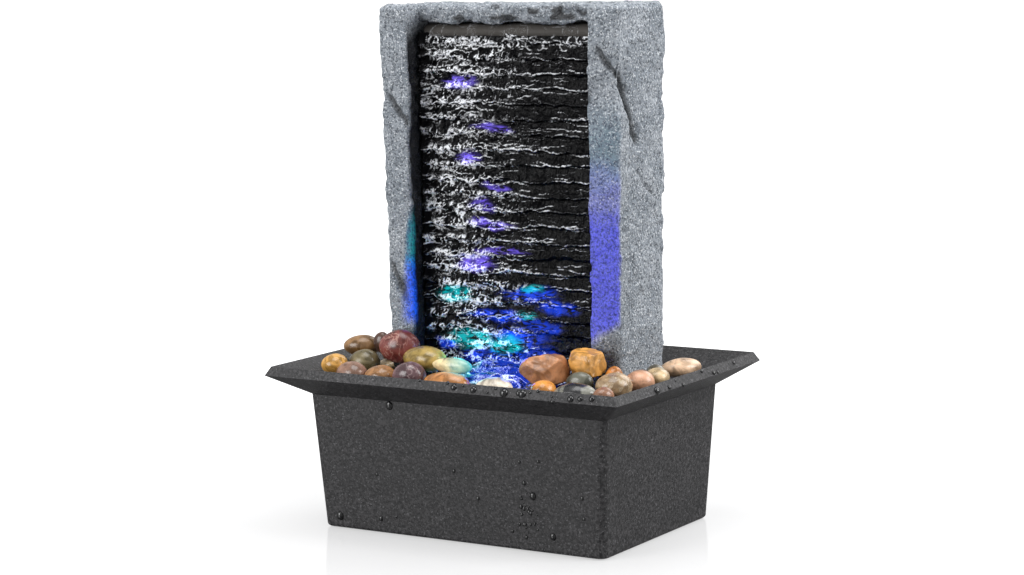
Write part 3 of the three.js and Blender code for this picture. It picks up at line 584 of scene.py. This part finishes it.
def panel_glow(points):
    """The lamp's light in the water on the panel."""
    x, _, z = (points / MM).T
    z = z + 1.6 * noise(points, 10 * MM, 61) + 0.8 * noise(points, 4 * MM, 62)
    ragged = 0.8 + 0.5 * noise(points, 3.5 * MM, 63)
    colour = np.zeros((len(points), 3))
    for middle_x, middle_z, half_x, half_z, name in GLOW_PATCHES:
        away = ((x - middle_x) / half_x) ** 2 + ((z - middle_z) / half_z) ** 2
        level = smooth(0.12, 0.75, np.exp(-away)) * ragged
        colour = np.maximum(colour, level[:, None] * np.array(IN_WATER[name]))
    return colour


def set_glow(mesh):
    colours = panel_glow(read_points(mesh))
    set_colours(mesh, colours, np.ones(len(colours)))


def wavy_lines(x, height, strand, ledge):
    """Where one thread of foam and painted glints runs beside one ledge: its height, width and whiteness in
    each column.
    """
    drop, sway, stretch, thick, rarity = STRANDS[strand]
    seed = 200 + 10 * ledge + strand
    along = np.stack([x, np.zeros_like(x), np.zeros_like(x)], -1)
    churn = smooth(25, -35, x)
    wander = sway * (1 + 0.7 * churn) * noise(along, 13, seed)
    shiver = (0.5 + 0.5 * churn) * noise(along, 3.2, seed + 1000) + 0.28 * noise(along, 1.2, seed + 4000)
    width = thick * (1 + 0.6 * noise(along, 5, seed + 2000))
    level = smooth(rarity - 0.4, rarity + 0.4, noise(along, stretch, seed + 3000))
    return height - drop + wander + shiver, width, level


def ledge_relief(phase):
    """How far the water stands out, 0 to 1, from one crest (phase 0) down to the next (phase 1)."""
    undercut = 1 - smooth(0.0, 0.2, phase)
    return np.maximum(undercut, phase**1.35)


def splash_loops(points):
    """Rings of white water where the curtain breaks on the first ledges."""
    x, _, z = (points / MM).T
    random = np.random.default_rng(21)
    white = np.zeros(len(points))
    for middle_x in np.arange(-44, 49, 4.6):
        middle_z = random.uniform(237.0, 240.5)
        radius, tall = random.uniform(1.6, 3.2), random.uniform(0.75, 1.2)
        across = x - middle_x - random.uniform(-1.2, 1.2) + 0.5 * noise(points, 2.5 * MM, 95)
        off = np.hypot(across, (z - middle_z) / tall) - radius
        white = np.maximum(white, random.uniform(0.6, 1.0) * np.exp(-((off / 0.42) ** 2)))
    return white * smooth(-0.5, 0.1, noise(points, 2.2 * MM, 96))


def ledge_threads(x, z):
    """The white threads of foam and painted glints beside every crest, rows x columns, and each crest's
    height in each column.
    """
    crests, threads = [], np.zeros((len(z), len(x)))
    for ledge in range(-2, RIDGES + 2):
        height = PANEL_TOP - LEDGE_STEP * (ledge + CREST)
        for strand in range(len(STRANDS)):
            line, width, level = wavy_lines(x, height, strand, ledge)
            threads = np.maximum(threads, level * np.exp(-(((z[:, None] - line) / width) ** 2)))
            if strand == 0:
                crests.append(line)
    return threads, crests


def way_down(crests, z):
    """How far each point is on its way from the crest above it, 0, to the one below it, 1."""
    phase = np.zeros((len(z), len(crests[0])))
    for upper, lower in zip(crests, crests[1:]):
        between = (z[:, None] <= upper) & (z[:, None] > lower)
        phase = np.where(between, (upper - z[:, None]) / (upper - lower), phase)
    return phase


def foot_splash(flat):
    """Long swirls of white water at the panel's foot."""
    low = smooth(104, 84, flat[:, 2] / MM) * smooth(40, 24, np.abs(flat[:, 0] / MM))
    swirl = winding(flat, 8, 87, 1.8, 8, [0.7, 1, 2.6])
    broken = smooth(-0.4, 0.2, noise(flat * [1, 1, 2], 7 * MM, 89))
    return 0.9 * low * smooth(0.88, 0.97, swirl) * broken


def panel_foam_and_glints(flat, threads, phase, churn, curls, fine):
    """How white the water on the panel is, with foam and painted glints, 0 to 1: most on the left, where it
    churns.
    """
    threads = threads * (0.35 + 0.65 * smooth(-0.5, 0.1, noise(flat * [1, 1, 3], 16 * MM, 86)))
    threads *= (0.35 + 0.65 * smooth(88, 130, flat[:, 2] / MM)) * (0.8 + 0.2 * churn)
    curl_line = smooth(0.9, 0.985, curls) * (0.1 + 0.8 * churn) * smooth(-0.3, 0.3, noise(flat, 9 * MM, 80))
    crumb_line = smooth(0.84, 0.96, winding(flat, 2.6, 83, 1.2, 2.4, [1, 1, 1.3]))
    crumb_line *= (0.1 + 1.1 * churn) * smooth(-0.45, 0.25, noise(flat, 6 * MM, 85))
    wisp_line = smooth(0.6, 0.9, winding(flat, 2.3, 71, 1.5, 3, [1, 1, 0.8]))
    wisp_line *= 0.75 * churn * smooth(-0.6, 0.1, noise(flat, 5 * MM, 75))
    near_crest = 0.25 + 0.75 * smooth(0.15, 0.75, np.abs(2 * phase - 1))
    scattered = near_crest * np.maximum.reduce([curl_line, crumb_line, wisp_line])
    fine_line = smooth(0.9, 0.98, fine) * (0.25 + 0.7 * churn) * smooth(-0.1, 0.5, noise(flat, 8 * MM, 81))
    foam_and_glints = np.maximum.reduce([threads, scattered, fine_line, splash_loops(flat), foot_splash(flat)])
    foam_and_glints *= 1.0 + 0.35 * churn + 0.3 * noise(flat, 1.8 * MM, 70)
    # Less white along the cheeks: painted shade in the recess's corners beside the panel.
    ragged = flat[:, 0] / MM + 2.5 * noise(flat, 4 * MM, 82)
    clear_of_side_shade = smooth(-PANEL_EDGE, 4 - PANEL_EDGE, ragged) * smooth(PANEL_EDGE, PANEL_EDGE - 8, ragged)
    return np.clip(foam_and_glints * (0.25 + 0.75 * clear_of_side_shade), 0, 1)


def water_panel():
    """The ridged panel with the water running down it."""
    x = np.linspace(PANEL_LOW.x, PANEL_HIGH.x, PANEL_COLUMNS) / MM * SIDE_GAP
    z = np.linspace(PANEL_LOW.z, PANEL_HIGH.z, PANEL_ROWS) / MM
    threads, crests = ledge_threads(x, z)
    threads, phase = threads.ravel(), way_down(crests, z).ravel()
    grid_x, grid_z = np.meshgrid(x * MM, z * MM)
    flat = np.stack([grid_x.ravel(), np.zeros(grid_x.size), grid_z.ravel()], -1)
    churn = smooth(30, -40, flat[:, 0] / MM + 12 * noise(flat, 30 * MM, 74))
    curls = winding(flat, 4.2, 76, 1.6, 5)
    fine = winding(flat, 2.0, 78, 0.7, 2)
    out = 2.3 * ledge_relief(phase) * (0.85 + 0.25 * noise(flat, 12 * MM, 73))
    out += 0.45 * threads + (0.5 + 0.7 * churn) * (curls - 0.5) + 0.45 * (fine - 0.5)
    piled = smooth(PANEL_EDGE - 4.5, PANEL_EDGE, np.abs(flat[:, 0] / MM)) ** 2  # against the cheeks
    out += 4.0 * piled
    hollow_y = PANEL_LOW.y + 2.6 * MM  # the face between two ledges
    front = np.stack([grid_x, (hollow_y - out * MM).reshape(grid_x.shape), grid_z], -1)
    vertices, faces = relief_block(front, PANEL_HIGH.y)
    look = running_water("wet_slate", (0.0015, 0.0015, 0.002), 0.25)
    panel = piece("wet_panel", vertices, faces, "tower", look)
    # White foam and painted glints, kept for the material.
    foam_and_glints = panel_foam_and_glints(flat, threads, phase, churn, curls, fine)
    set_values(panel.data, "foam_and_glints", np.concatenate([foam_and_glints, np.zeros(len(vertices) - len(foam_and_glints))]))
    set_glow(panel.data)
    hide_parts("ridged_panel")


def overflow():
    """The smooth curtain that slips from under the header, over the trough's lip, onto the first ridge."""
    columns, steps = 160, 14
    half_width, back_y, low_z, turn = 51, 8.2, 242.4, 5.9  # millimetres; turn is the lip's radius
    x = np.linspace(-half_width * MM, half_width * MM, columns)
    rows = []
    for step in range(steps):
        t = step / (steps - 1)
        angle = t * math.pi / 2
        y = (back_y - turn * math.sin(angle)) * MM
        z = (low_z + turn * math.cos(angle) ** 0.6) * MM
        wobble = 0.35 * MM * t * fractal(np.stack([x, np.full_like(x, t * MM), x * 0], -1), 6 * MM, 2, 91)
        rows.append(np.stack([x, y - wobble, z + 0.5 * wobble], -1))
    outer = np.array(rows)[::-1]
    inner = outer + np.array([0, 0.9 * MM, -0.45 * MM])
    vertices, faces = grid_block(outer, inner)
    look = running_water("lip_water", (0.07, 0.065, 0.06))
    curtain = piece("overflow_water", vertices, faces, "tower", look)
    points = read_points(curtain.data)
    # Faint white lines on the smooth curtain: painted glints of light.
    set_values(curtain.data, "foam_and_glints", 0.35 * smooth(0.9, 0.98, ridged(points, 7 * MM, 92)))
    set_glow(curtain.data)


def splash_pool():
    """Churned water at the panel's foot, over the lamp."""
    columns, rows = 170, 110
    x = np.linspace(-36 * MM, 30 * MM, columns)
    y = np.linspace(-38.5 * MM, 0.4 * MM, rows)
    grid_x, grid_y = np.meshgrid(x, y)
    flat = np.stack([grid_x.ravel(), grid_y.ravel(), np.zeros(grid_x.size)], -1)
    from_middle = np.hypot((flat[:, 0] / MM + 2) / 32, (flat[:, 1] / MM + 17) / 22)
    mound = smooth(1.0, 0.45, from_middle)
    near_panel = smooth(-16, 0, flat[:, 1] / MM)
    curls = winding(flat, 6, 101, 1.8, 6, [0.7, 1.5, 1])
    fine = winding(flat, 2.2, 104, 0.7, 2, [0.8, 1.4, 1])
    rise = 3.2 + mound * (5.0 + 5.0 * near_panel) + 1.8 * mound * fractal(flat, 8 * MM, 2, 103)
    rise += (0.4 + 1.2 * mound) * (curls - 0.5) + 0.5 * mound * (fine - 0.5)
    height = (DECK_TOP + rise * MM).reshape(rows, columns)
    top = np.stack([grid_x, grid_y, height], -1)
    bottom = np.stack([grid_x, grid_y, height - (1.2 + 1.2 * mound.reshape(rows, columns)) * MM], -1)
    vertices, faces = grid_block(top, bottom)
    look = running_water("pool_water", (0.004, 0.01, 0.05), 0.9)
    pool = piece("splash_water", vertices, faces, "deck", look)
    white = smooth(0.72, 0.92, curls) + 0.6 * smooth(0.85, 0.97, fine)
    foam_and_glints = np.clip(white * (0.35 + 0.65 * smooth(-0.4, 0.4, noise(flat, 9 * MM, 106))), 0, 1)
    set_values(pool.data, "foam_and_glints", np.concatenate([foam_and_glints, np.zeros(len(foam_and_glints))]))
    points = read_points(pool.data)
    teal = smooth(0.0, 0.5, noise(points, 8 * MM, 107) - 0.02 * (points[:, 0] / MM))[:, None]
    spread = smooth(34, 18, np.abs(points[:, 0] / MM))[:, None]
    colour = 0.45 * spread * ((1 - teal) * np.array(IN_WATER["blue"]) + teal * np.array(IN_WATER["teal"]))
    set_colours(pool.data, colour, np.ones(len(points)))


def bead_mesh(centre, normal, radius, flatness, stretch=1.0):
    """Vertices and faces of a water drop sitting on a face, a little longer downhill."""
    around, up = 18, 8
    sunk = 0.25  # share of the radius that the drop reaches below its middle
    vertices = [(0, 0, 1)]
    for ring in range(1, up):
        side, height = math.sin(math.pi * ring / up), math.cos(math.pi * ring / up)
        for k in range(around):
            turn = 2 * math.pi * k / around
            vertices.append((side * math.cos(turn), side * math.sin(turn) * stretch, height))
    vertices.append((0, 0, -1))
    faces = [(0, 1 + k, 1 + (k + 1) % around) for k in range(around)]
    for ring in range(up - 2):
        first, second = 1 + ring * around, 1 + (ring + 1) * around
        for k in range(around):
            after = (k + 1) % around
            faces.append((first + k, second + k, second + after, first + after))
    last = len(vertices) - 1
    start = last - around
    faces += [(last, start + (k + 1) % around, start + k) for k in range(around)]
    facing = Vector(normal).normalized().to_track_quat("Z", "Y").to_matrix()
    shaped = [
        Vector(centre) + facing @ Vector((x * radius, y * radius, max(z, -sunk) * flatness * radius))
        for x, y, z in vertices
    ]
    return shaped, faces


def joined(parts):
    """Several meshes' vertices and faces as one."""
    vertices, faces = [], []
    for some_vertices, some_faces in parts:
        start = len(vertices)
        vertices += list(some_vertices)
        faces += [tuple(i + start for i in face) for face in some_faces]
    return vertices, faces


# Drops: on the rim's front band (x, share of the way up, radius), on its right band (y, share, radius),
# and on the tub's front wall (x, height, radius). Millimetres.
LIP_DROPS_FRONT = (
    (-9, 0.93, 0.9), (7, 0.93, 0.9), (11, 0.56, 1.7), (16, 0.8, 0.8), (22, 0.48, 1.7), (30, 0.35, 0.8),
    (34, 0.8, 0.8), (39, 0.45, 2.2), (47, 0.55, 1.5), (49, 0.5, 2.1), (57, 0.9, 0.9), (53, 0.7, 0.8),
    (65, 0.5, 0.7), (66, 0.05, 1.1), (75, 0.41, 1.7), (80, 0.5, 1.4), (86, 0.6, 1.5),
)
LIP_DROPS_RIGHT = (
    (-34, 0.3, 1.9), (-22, 0.25, 1.2), (-14, 0.7, 0.7), (-9, 0.05, 1.1), (13, 0.78, 1.0), (23, 0.25, 1.3),
    (27, 0.2, 0.9), (46, 0.58, 1.0),
)
TUB_DROPS = (
    (-70.5, 6.5, 2.0), (-46.4, 30, 0.8), (-45.8, 7.6, 1.2), (-36.5, 9.4, 0.6), (-36.4, 65.5, 2.0),
    (-1, 36, 0.9), (12, 23.6, 0.9), (43, 27.8, 1.7), (53, 9, 1.6), (70, 29.4, 0.9), (36.5, 44, 0.8),
    (47, 45, 0.8), (30.5, 9.4, 0.8), (70.6, 19.5, 0.8), (38.5, 33.8, 1.0), (36, 22, 1.0),
)


# The rim's outer edge and its lip, and the foot and the top of the tub's wall: half widths, half depths
# and heights as in part.mjs.
RIM_EDGE, RIM_LIP = Vector((100, 73, 78.1)) * MM, Vector((97.6, 70.6, 82.4)) * MM
WALL_FOOT, WALL_TOP = Vector((80.5, 52.6, 0.4)) * MM, Vector((84.4, 57.1, 67.7)) * MM
SPRAY = 24  # small drops scattered together on the tub's front wall
RIM_BEAD, WALL_BEAD, RUN = 0.75, 0.6, 1.15  # how thick drops stand on rim and wall; how long they run there


def water_drops():
    band = RIM_LIP - RIM_EDGE
    beads = []
    for x, share, radius in LIP_DROPS_FRONT:
        spot = (x * MM, -(RIM_EDGE.y + share * band.y), RIM_EDGE.z + share * band.z)
        beads.append(bead_mesh(spot, (0, -band.z, -band.y), radius * MM, RIM_BEAD))
    for y, share, radius in LIP_DROPS_RIGHT:
        spot = (RIM_EDGE.x + share * band.x, y * MM, RIM_EDGE.z + share * band.z)
        beads.append(bead_mesh(spot, (band.z, 0, -band.x), radius * MM, RIM_BEAD))
    slope = (WALL_TOP.y - WALL_FOOT.y) / (WALL_TOP.z - WALL_FOOT.z)
    random = np.random.default_rng(5)
    spray = zip(random.normal(40, 3, SPRAY), random.normal(21, 7, SPRAY), random.uniform(0.35, 0.9, SPRAY))
    for x, z, radius in (*TUB_DROPS, *spray):
        spot = (x * MM, -(WALL_FOOT.y + slope * (z * MM - WALL_FOOT.z)), z * MM)
        beads.append(bead_mesh(spot, (0, -1, -slope), radius * MM, WALL_BEAD, RUN))
    vertices, faces = joined(beads)
    piece("water_drops", vertices, faces, "basin", dark_water("drop_water"))


# ---- Pebbles ----
PEBBLE_NODES = [name for name in NODES if name.startswith("pebble_")]
ROUGH = ("pebble_rose_rock", "pebble_gold_rock")
VEINS = {
    "pebble_crimson": (0.45, 0.25, 0.2),
    "pebble_purple": (0.35, 0.25, 0.25),
    "pebble_tan": (0.5, 0.42, 0.3),
}
BANDS = {"pebble_striped": (0.02, 0.02, 0.022), "pebble_moss": (0.12, 0.12, 0.09)}
GLOW_SPOT = Vector((3, -34, 86)) * MM  # where the lamp's light reaches the stones from
GLOW_NEAR, GLOW_FAR = 11 * MM, 23 * MM  # full light up to here, none beyond there


def linear(colour):
    """A colour as it looks on a screen, turned into light."""
    return [c**2.2 for c in colour[:3]]


def lamp_on_stone(points, normals):
    """The lamp's teal light on the faces of the stones nearest to it: a colour, and its cover."""
    away = np.array(GLOW_SPOT) - points
    far = np.linalg.norm(away, axis=1)
    facing = np.clip(0.8 + 0.5 * (normals * away).sum(1) / far, 0, 1)
    cover = facing * smooth(GLOW_FAR, GLOW_NEAR, far + 2 * MM * noise(points, 5 * MM, 97))
    cover *= smooth(79 * MM, 83 * MM, points[:, 2])
    return cover[:, None] * np.array([0.02, 0.42, 0.46]), cover


def dark_band(points, seed):
    """One wide dark band and a thin one across the length of a stone."""
    along = points[:, 0] / MM + 1.6 * noise(points, 6 * MM, seed)
    return np.maximum(smooth(4.6, 3.6, np.abs(along - 1)), 0.8 * smooth(0.9, 0.4, np.abs(along + 6.5)))


CUTS = 11  # flat faces on a rough stone
CUT_REACH = 0.8  # share of the stone's own reach at which a cut lies, on average


def chiselled(points, seed):
    """Points about the origin, each pushed back behind a few flat cuts."""
    random = np.random.default_rng(seed)
    reach = np.abs(points).max(0)
    cut = points.copy()
    for _ in range(CUTS):
        normal = random.normal(size=3)
        normal /= np.linalg.norm(normal)
        limit = CUT_REACH * np.linalg.norm(normal * reach) * random.uniform(0.92, 1.08)
        over = np.clip(cut @ normal - limit, 0, None)
        cut -= over[:, None] * normal
    return cut


def pebble(node):
    """The river stone that replaces one pebble node, inside the node's box."""
    low, high = (np.array(corner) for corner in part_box(node))
    middle = (low + high) / 2
    stone = reshaped_copy(node, node.replace("pebble", "stone"), "SUBSURF", levels=3)
    points = read_points(stone.data) - middle
    points *= (high - low) / (points.max(0) - points.min(0))
    seed = sum(ord(letter) for letter in node)
    if node in ROUGH:
        reach = np.abs(points).max(0)
        points = np.sign(points) * reach * np.abs(points / reach) ** 0.72
        points = chiselled(points, seed)
        outward = points / np.linalg.norm(points, axis=1)[:, None]
        points += 0.5 * MM * outward * fractal(points, 5 * MM, 3, seed)[:, None]
    else:
        points *= 1 + 0.035 * noise(points, 9 * MM, seed)[:, None]
    write_points(stone.data, points + middle)
    stone.data.shade_smooth()
    set_colours(stone.data, *lamp_on_stone(points + middle, read_normals(stone.data)))
    if node in BANDS:
        set_values(stone.data, "band", dark_band(points, seed))
    slot = SLOT_OF[node]
    colour = linear(COLOUR_OF[slot])
    gloss = 0.45 if node in ROUGH else 0.3
    look = river_stone(slot, colour, VEINS.get(node), BANDS.get(node), gloss, lamp_lit=True)
    stone.data.materials.append(look)
    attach(stone, "deck")
    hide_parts(node)


def icosphere(subdivisions):
    """Vertices and faces of a ball of radius 1."""
    ball = bmesh.new()
    bmesh.ops.create_icosphere(ball, subdivisions=subdivisions, radius=1.0)
    vertices = np.array([v.co for v in ball.verts])
    faces = [[v.index for v in f.verts] for f in ball.faces]
    ball.free()
    return vertices, faces


FILLER_COLOURS = {
    "tan": (0.62, 0.5, 0.38), "grey": (0.42, 0.41, 0.39), "brown": (0.42, 0.28, 0.18),
    "dark": (0.24, 0.21, 0.19), "cream": (0.8, 0.7, 0.55), "rust": (0.55, 0.3, 0.17),
}
# Where a filler stone may lie, in millimetres.
TOWER_CLEAR = {"x": 66.8, "front": -11.8, "back": 37.8}
LAMP_CLEAR = 14
BARE_DECK = {"x": 52, "y": -20}  # beside and behind the tower's right cheek
FRONT_Y, FRONT_CEILING = -12, 5.5  # in front of this line, filler stones reach no higher above the deck
DECK_GAP = 0.3
CLOSE, SETTLED = 0.93, 0.95  # shares of their sizes at which two lumpy stones touch, sideways and upwards
LAYERS = ((6.5, 2200), (12.0, 2600))  # ceiling above the deck elsewhere, and how many stones are tried


def tray_half(z):
    """Half width and half depth of the tray at a height, in millimetres: the wall, then the rim's slope."""
    slope = max(0.0, z - 72) * 1.5
    return 81 + slope, 53.8 + slope


def open_deck(x, y, radius):
    """Whether a stone clears the tower, the lamp and the bare part of the deck."""
    if x > BARE_DECK["x"] - radius and y > BARE_DECK["y"]:
        return False
    beside = abs(x) > TOWER_CLEAR["x"] + radius or y > TOWER_CLEAR["back"] + radius
    off_lamp = math.hypot(x - LAMP_MIDDLE.x / MM, y - LAMP_MIDDLE.y / MM) >= LAMP_CLEAR + radius
    return off_lamp and (beside or y < TOWER_CLEAR["front"] - radius)


def resting_height(resting, x, y, radius, height):
    """How high a stone's middle is where it lies on the stones already there, 0 if it touches none."""
    known = np.array(resting)
    apart = np.hypot(known[:, 0] - x, known[:, 1] - y) / (CLOSE * (known[:, 3] + radius))
    over = SETTLED * (known[:, 4] + height) * np.sqrt(np.clip(1 - apart**2, 0, 1))
    return np.where(apart < 1, known[:, 2] + over, 0).max()


def filler_places():
    """Small stones dropped one after another onto the deck, each where it comes to rest. Millimetres."""
    random = np.random.default_rng(12)
    resting = []
    for node in PEBBLE_NODES:
        low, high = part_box(node)
        size, middle = (high - low) / MM, (low + high) / 2 / MM
        resting.append((*middle, (size.x + size.y) / 4, size.z / 2))
    big_stones = len(resting)
    deck = DECK_TOP / MM
    for layer, tries in LAYERS:
        for _ in range(tries):
            radius, share = random.uniform(4.5, 8.5), random.uniform(0.45, 0.75)
            height = radius * share
            x, y = random.uniform(-88, 88), random.uniform(-60, 60)
            if not open_deck(x, y, radius):
                continue
            z = max(deck + DECK_GAP + height, resting_height(resting, x, y, radius, height))
            half_x, half_y = tray_half(z - 0.7 * height)
            ceiling = deck + (layer if y > FRONT_Y else FRONT_CEILING)
            if z <= ceiling and abs(x) <= half_x - radius and abs(y) <= half_y - radius:
                resting.append((x, y, z, radius, height))
    return resting[big_stones:]


def filler_pebbles():
    """The filler stones, one piece for each colour."""
    random = np.random.default_rng(3)
    ball, ball_faces = icosphere(3)
    stones = []
    for number, (x, y, z, radius, height) in enumerate(filler_places()):
        shape = ball * (1 + 0.09 * noise(ball, 0.9, number)[:, None])
        shape = shape * [radius, radius * random.uniform(0.85, 1.0), height]
        spin = np.array(Matrix.Rotation(random.uniform(0, math.pi), 3, "Z"))
        stones.append(((shape @ spin.T + [x, y, z]) * MM, ball_faces))
    for first, (name, colour) in enumerate(FILLER_COLOURS.items()):
        vertices, faces = joined(stones[first :: len(FILLER_COLOURS)])
        look = river_stone("filler_" + name, linear(colour))
        piece("filler_pebbles_" + name, vertices, faces, "deck", look)


# ---- Stage, light and camera ----
def stage_floor():
    """White where it is seen, greyer in the light it throws back up."""
    half = 6.0
    floor = bpy.data.meshes.new("floor")
    corners = [(-half, -half, 0), (half, -half, 0), (half, half, 0), (-half, half, 0)]
    floor.from_pydata(corners, [], [(0, 1, 2, 3)])
    look = Look("white_floor", (0.8, 0.8, 0.81), 0.12, Specular_IOR_Level=0.9)
    look.shader.inputs["Emission Color"].default_value = (1, 1, 1, 1)
    seen = look.node("LightPath").outputs["Is Camera Ray"]
    away = look.node("VectorMath", {0: look.place()}, operation="LENGTH").outputs["Value"]
    look.feed("Base Color", look.blend(seen, (0.22, 0.22, 0.22), (0.42, 0.42, 0.425)))
    look.feed("Emission Strength", look.math("MULTIPLY", seen, look.span(away, 0.12, 0.4, 0.5, 1.0)))
    look.feed("Roughness", look.span(look.noise(40, 2), 0.3, 0.7, 0.08, 0.14))
    floor.materials.append(look.material)
    add_object("floor", floor)


def white_room():
    """White behind the object, and a softer grey in what it reflects."""
    world = bpy.data.worlds.new("white_room")
    bpy.context.scene.world = world
    world.use_nodes = True
    tree = world.node_tree
    background = tree.nodes["Background"]
    seen = tree.nodes.new("ShaderNodeLightPath").outputs["Is Camera Ray"]
    strength = tree.nodes.new("ShaderNodeMapRange")
    strength.inputs["To Min"].default_value = 0.5
    strength.inputs["To Max"].default_value = 1.1
    tree.links.new(seen, strength.inputs["Value"])
    tree.links.new(strength.outputs["Result"], background.inputs["Strength"])
    background.inputs["Color"].default_value = (1, 1, 1, 1)


def add_light(name, kind, place, target, energy, colour=(1, 1, 1), **settings):
    """A light at a place, turned towards a target, its energy in watts."""
    light = bpy.data.lights.new(name, kind)
    light.energy = energy
    light.color = colour
    for key, value in settings.items():
        setattr(light, key, value)
    made = add_object(name, light)
    made.location = place
    made.rotation_euler = (Vector(target) - Vector(place)).to_track_quat("-Z", "Y").to_euler()
    return made


def studio_lights():
    """Four large soft lights turned towards the fountain's middle."""
    lights = (
        ("key_light", (1.8, 0.5, 1.3), 40),
        ("fill_light", (-1.05, -1.95, 0.8), 33),
        ("top_light", (0.0, -0.3, 2.0), 22),
        ("back_light", (0.3, 1.7, 1.3), 14),
    )
    for name, place, energy in lights:
        add_light(name, "AREA", place, (0, 0, 0.13), energy, shape="RECTANGLE", size=1.3, size_y=1.3)


def fountain_lamp_light():
    """The lamp's coloured light on the stones round it."""
    sources = (
        ("lamp_light_teal", (-14, -27, 88), (0.0, 0.75, 0.8), 0.006),
        ("lamp_light_blue", (16, -24, 90), (0.02, 0.1, 1.0), 0.01),
        ("lamp_light_low", (-4, -14, 92), (0.02, 0.15, 1.0), 0.006),
    )
    for name, place, colour, energy in sources:
        place = Vector(place) * MM
        light = add_light(name, "POINT", place, (0, 0, 0), energy, colour, shadow_soft_size=0.004)
        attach(light, "deck")


# Degrees round to the right, down and tilted; metres away, aside and above; the lens in millimetres.
YAW, PITCH, ROLL = (math.radians(angle) for angle in (31.93, 7.66, -1.1))
DISTANCE, ASIDE, ABOVE = 1.3033, -0.0025, 0.1173
LENS = 91.5


def camera():
    """Looks from the photograph's angle, as it was fitted to the rim's and the tower's corners."""
    forward = Vector((-math.sin(YAW) * math.cos(PITCH), math.cos(YAW) * math.cos(PITCH), -math.sin(PITCH)))
    level = Vector((math.cos(YAW), math.sin(YAW), 0))
    upright = level.cross(forward)
    right = math.cos(ROLL) * level + math.sin(ROLL) * upright
    up = math.cos(ROLL) * upright - math.sin(ROLL) * level
    place = -forward * DISTANCE + right * ASIDE + up * ABOVE
    data = bpy.data.cameras.new("camera")
    data.lens = LENS
    data.clip_start = 0.01
    made = add_object("camera", data)
    axes = Matrix((right, up, -forward)).transposed()
    made.matrix_world = Matrix.Translation(place) @ axes.to_4x4()
    bpy.context.scene.camera = made


dress_inner_pieces()
dress("basin", basin_plastic(), 0.5)
stone_tower()
water_panel()
overflow()
splash_pool()
water_drops()
for pebble_node in PEBBLE_NODES:
    pebble(pebble_node)
filler_pebbles()
stage_floor()
white_room()
studio_lights()
fountain_lamp_light()
camera()
bpy.context.scene.view_settings.view_transform = "Standard"
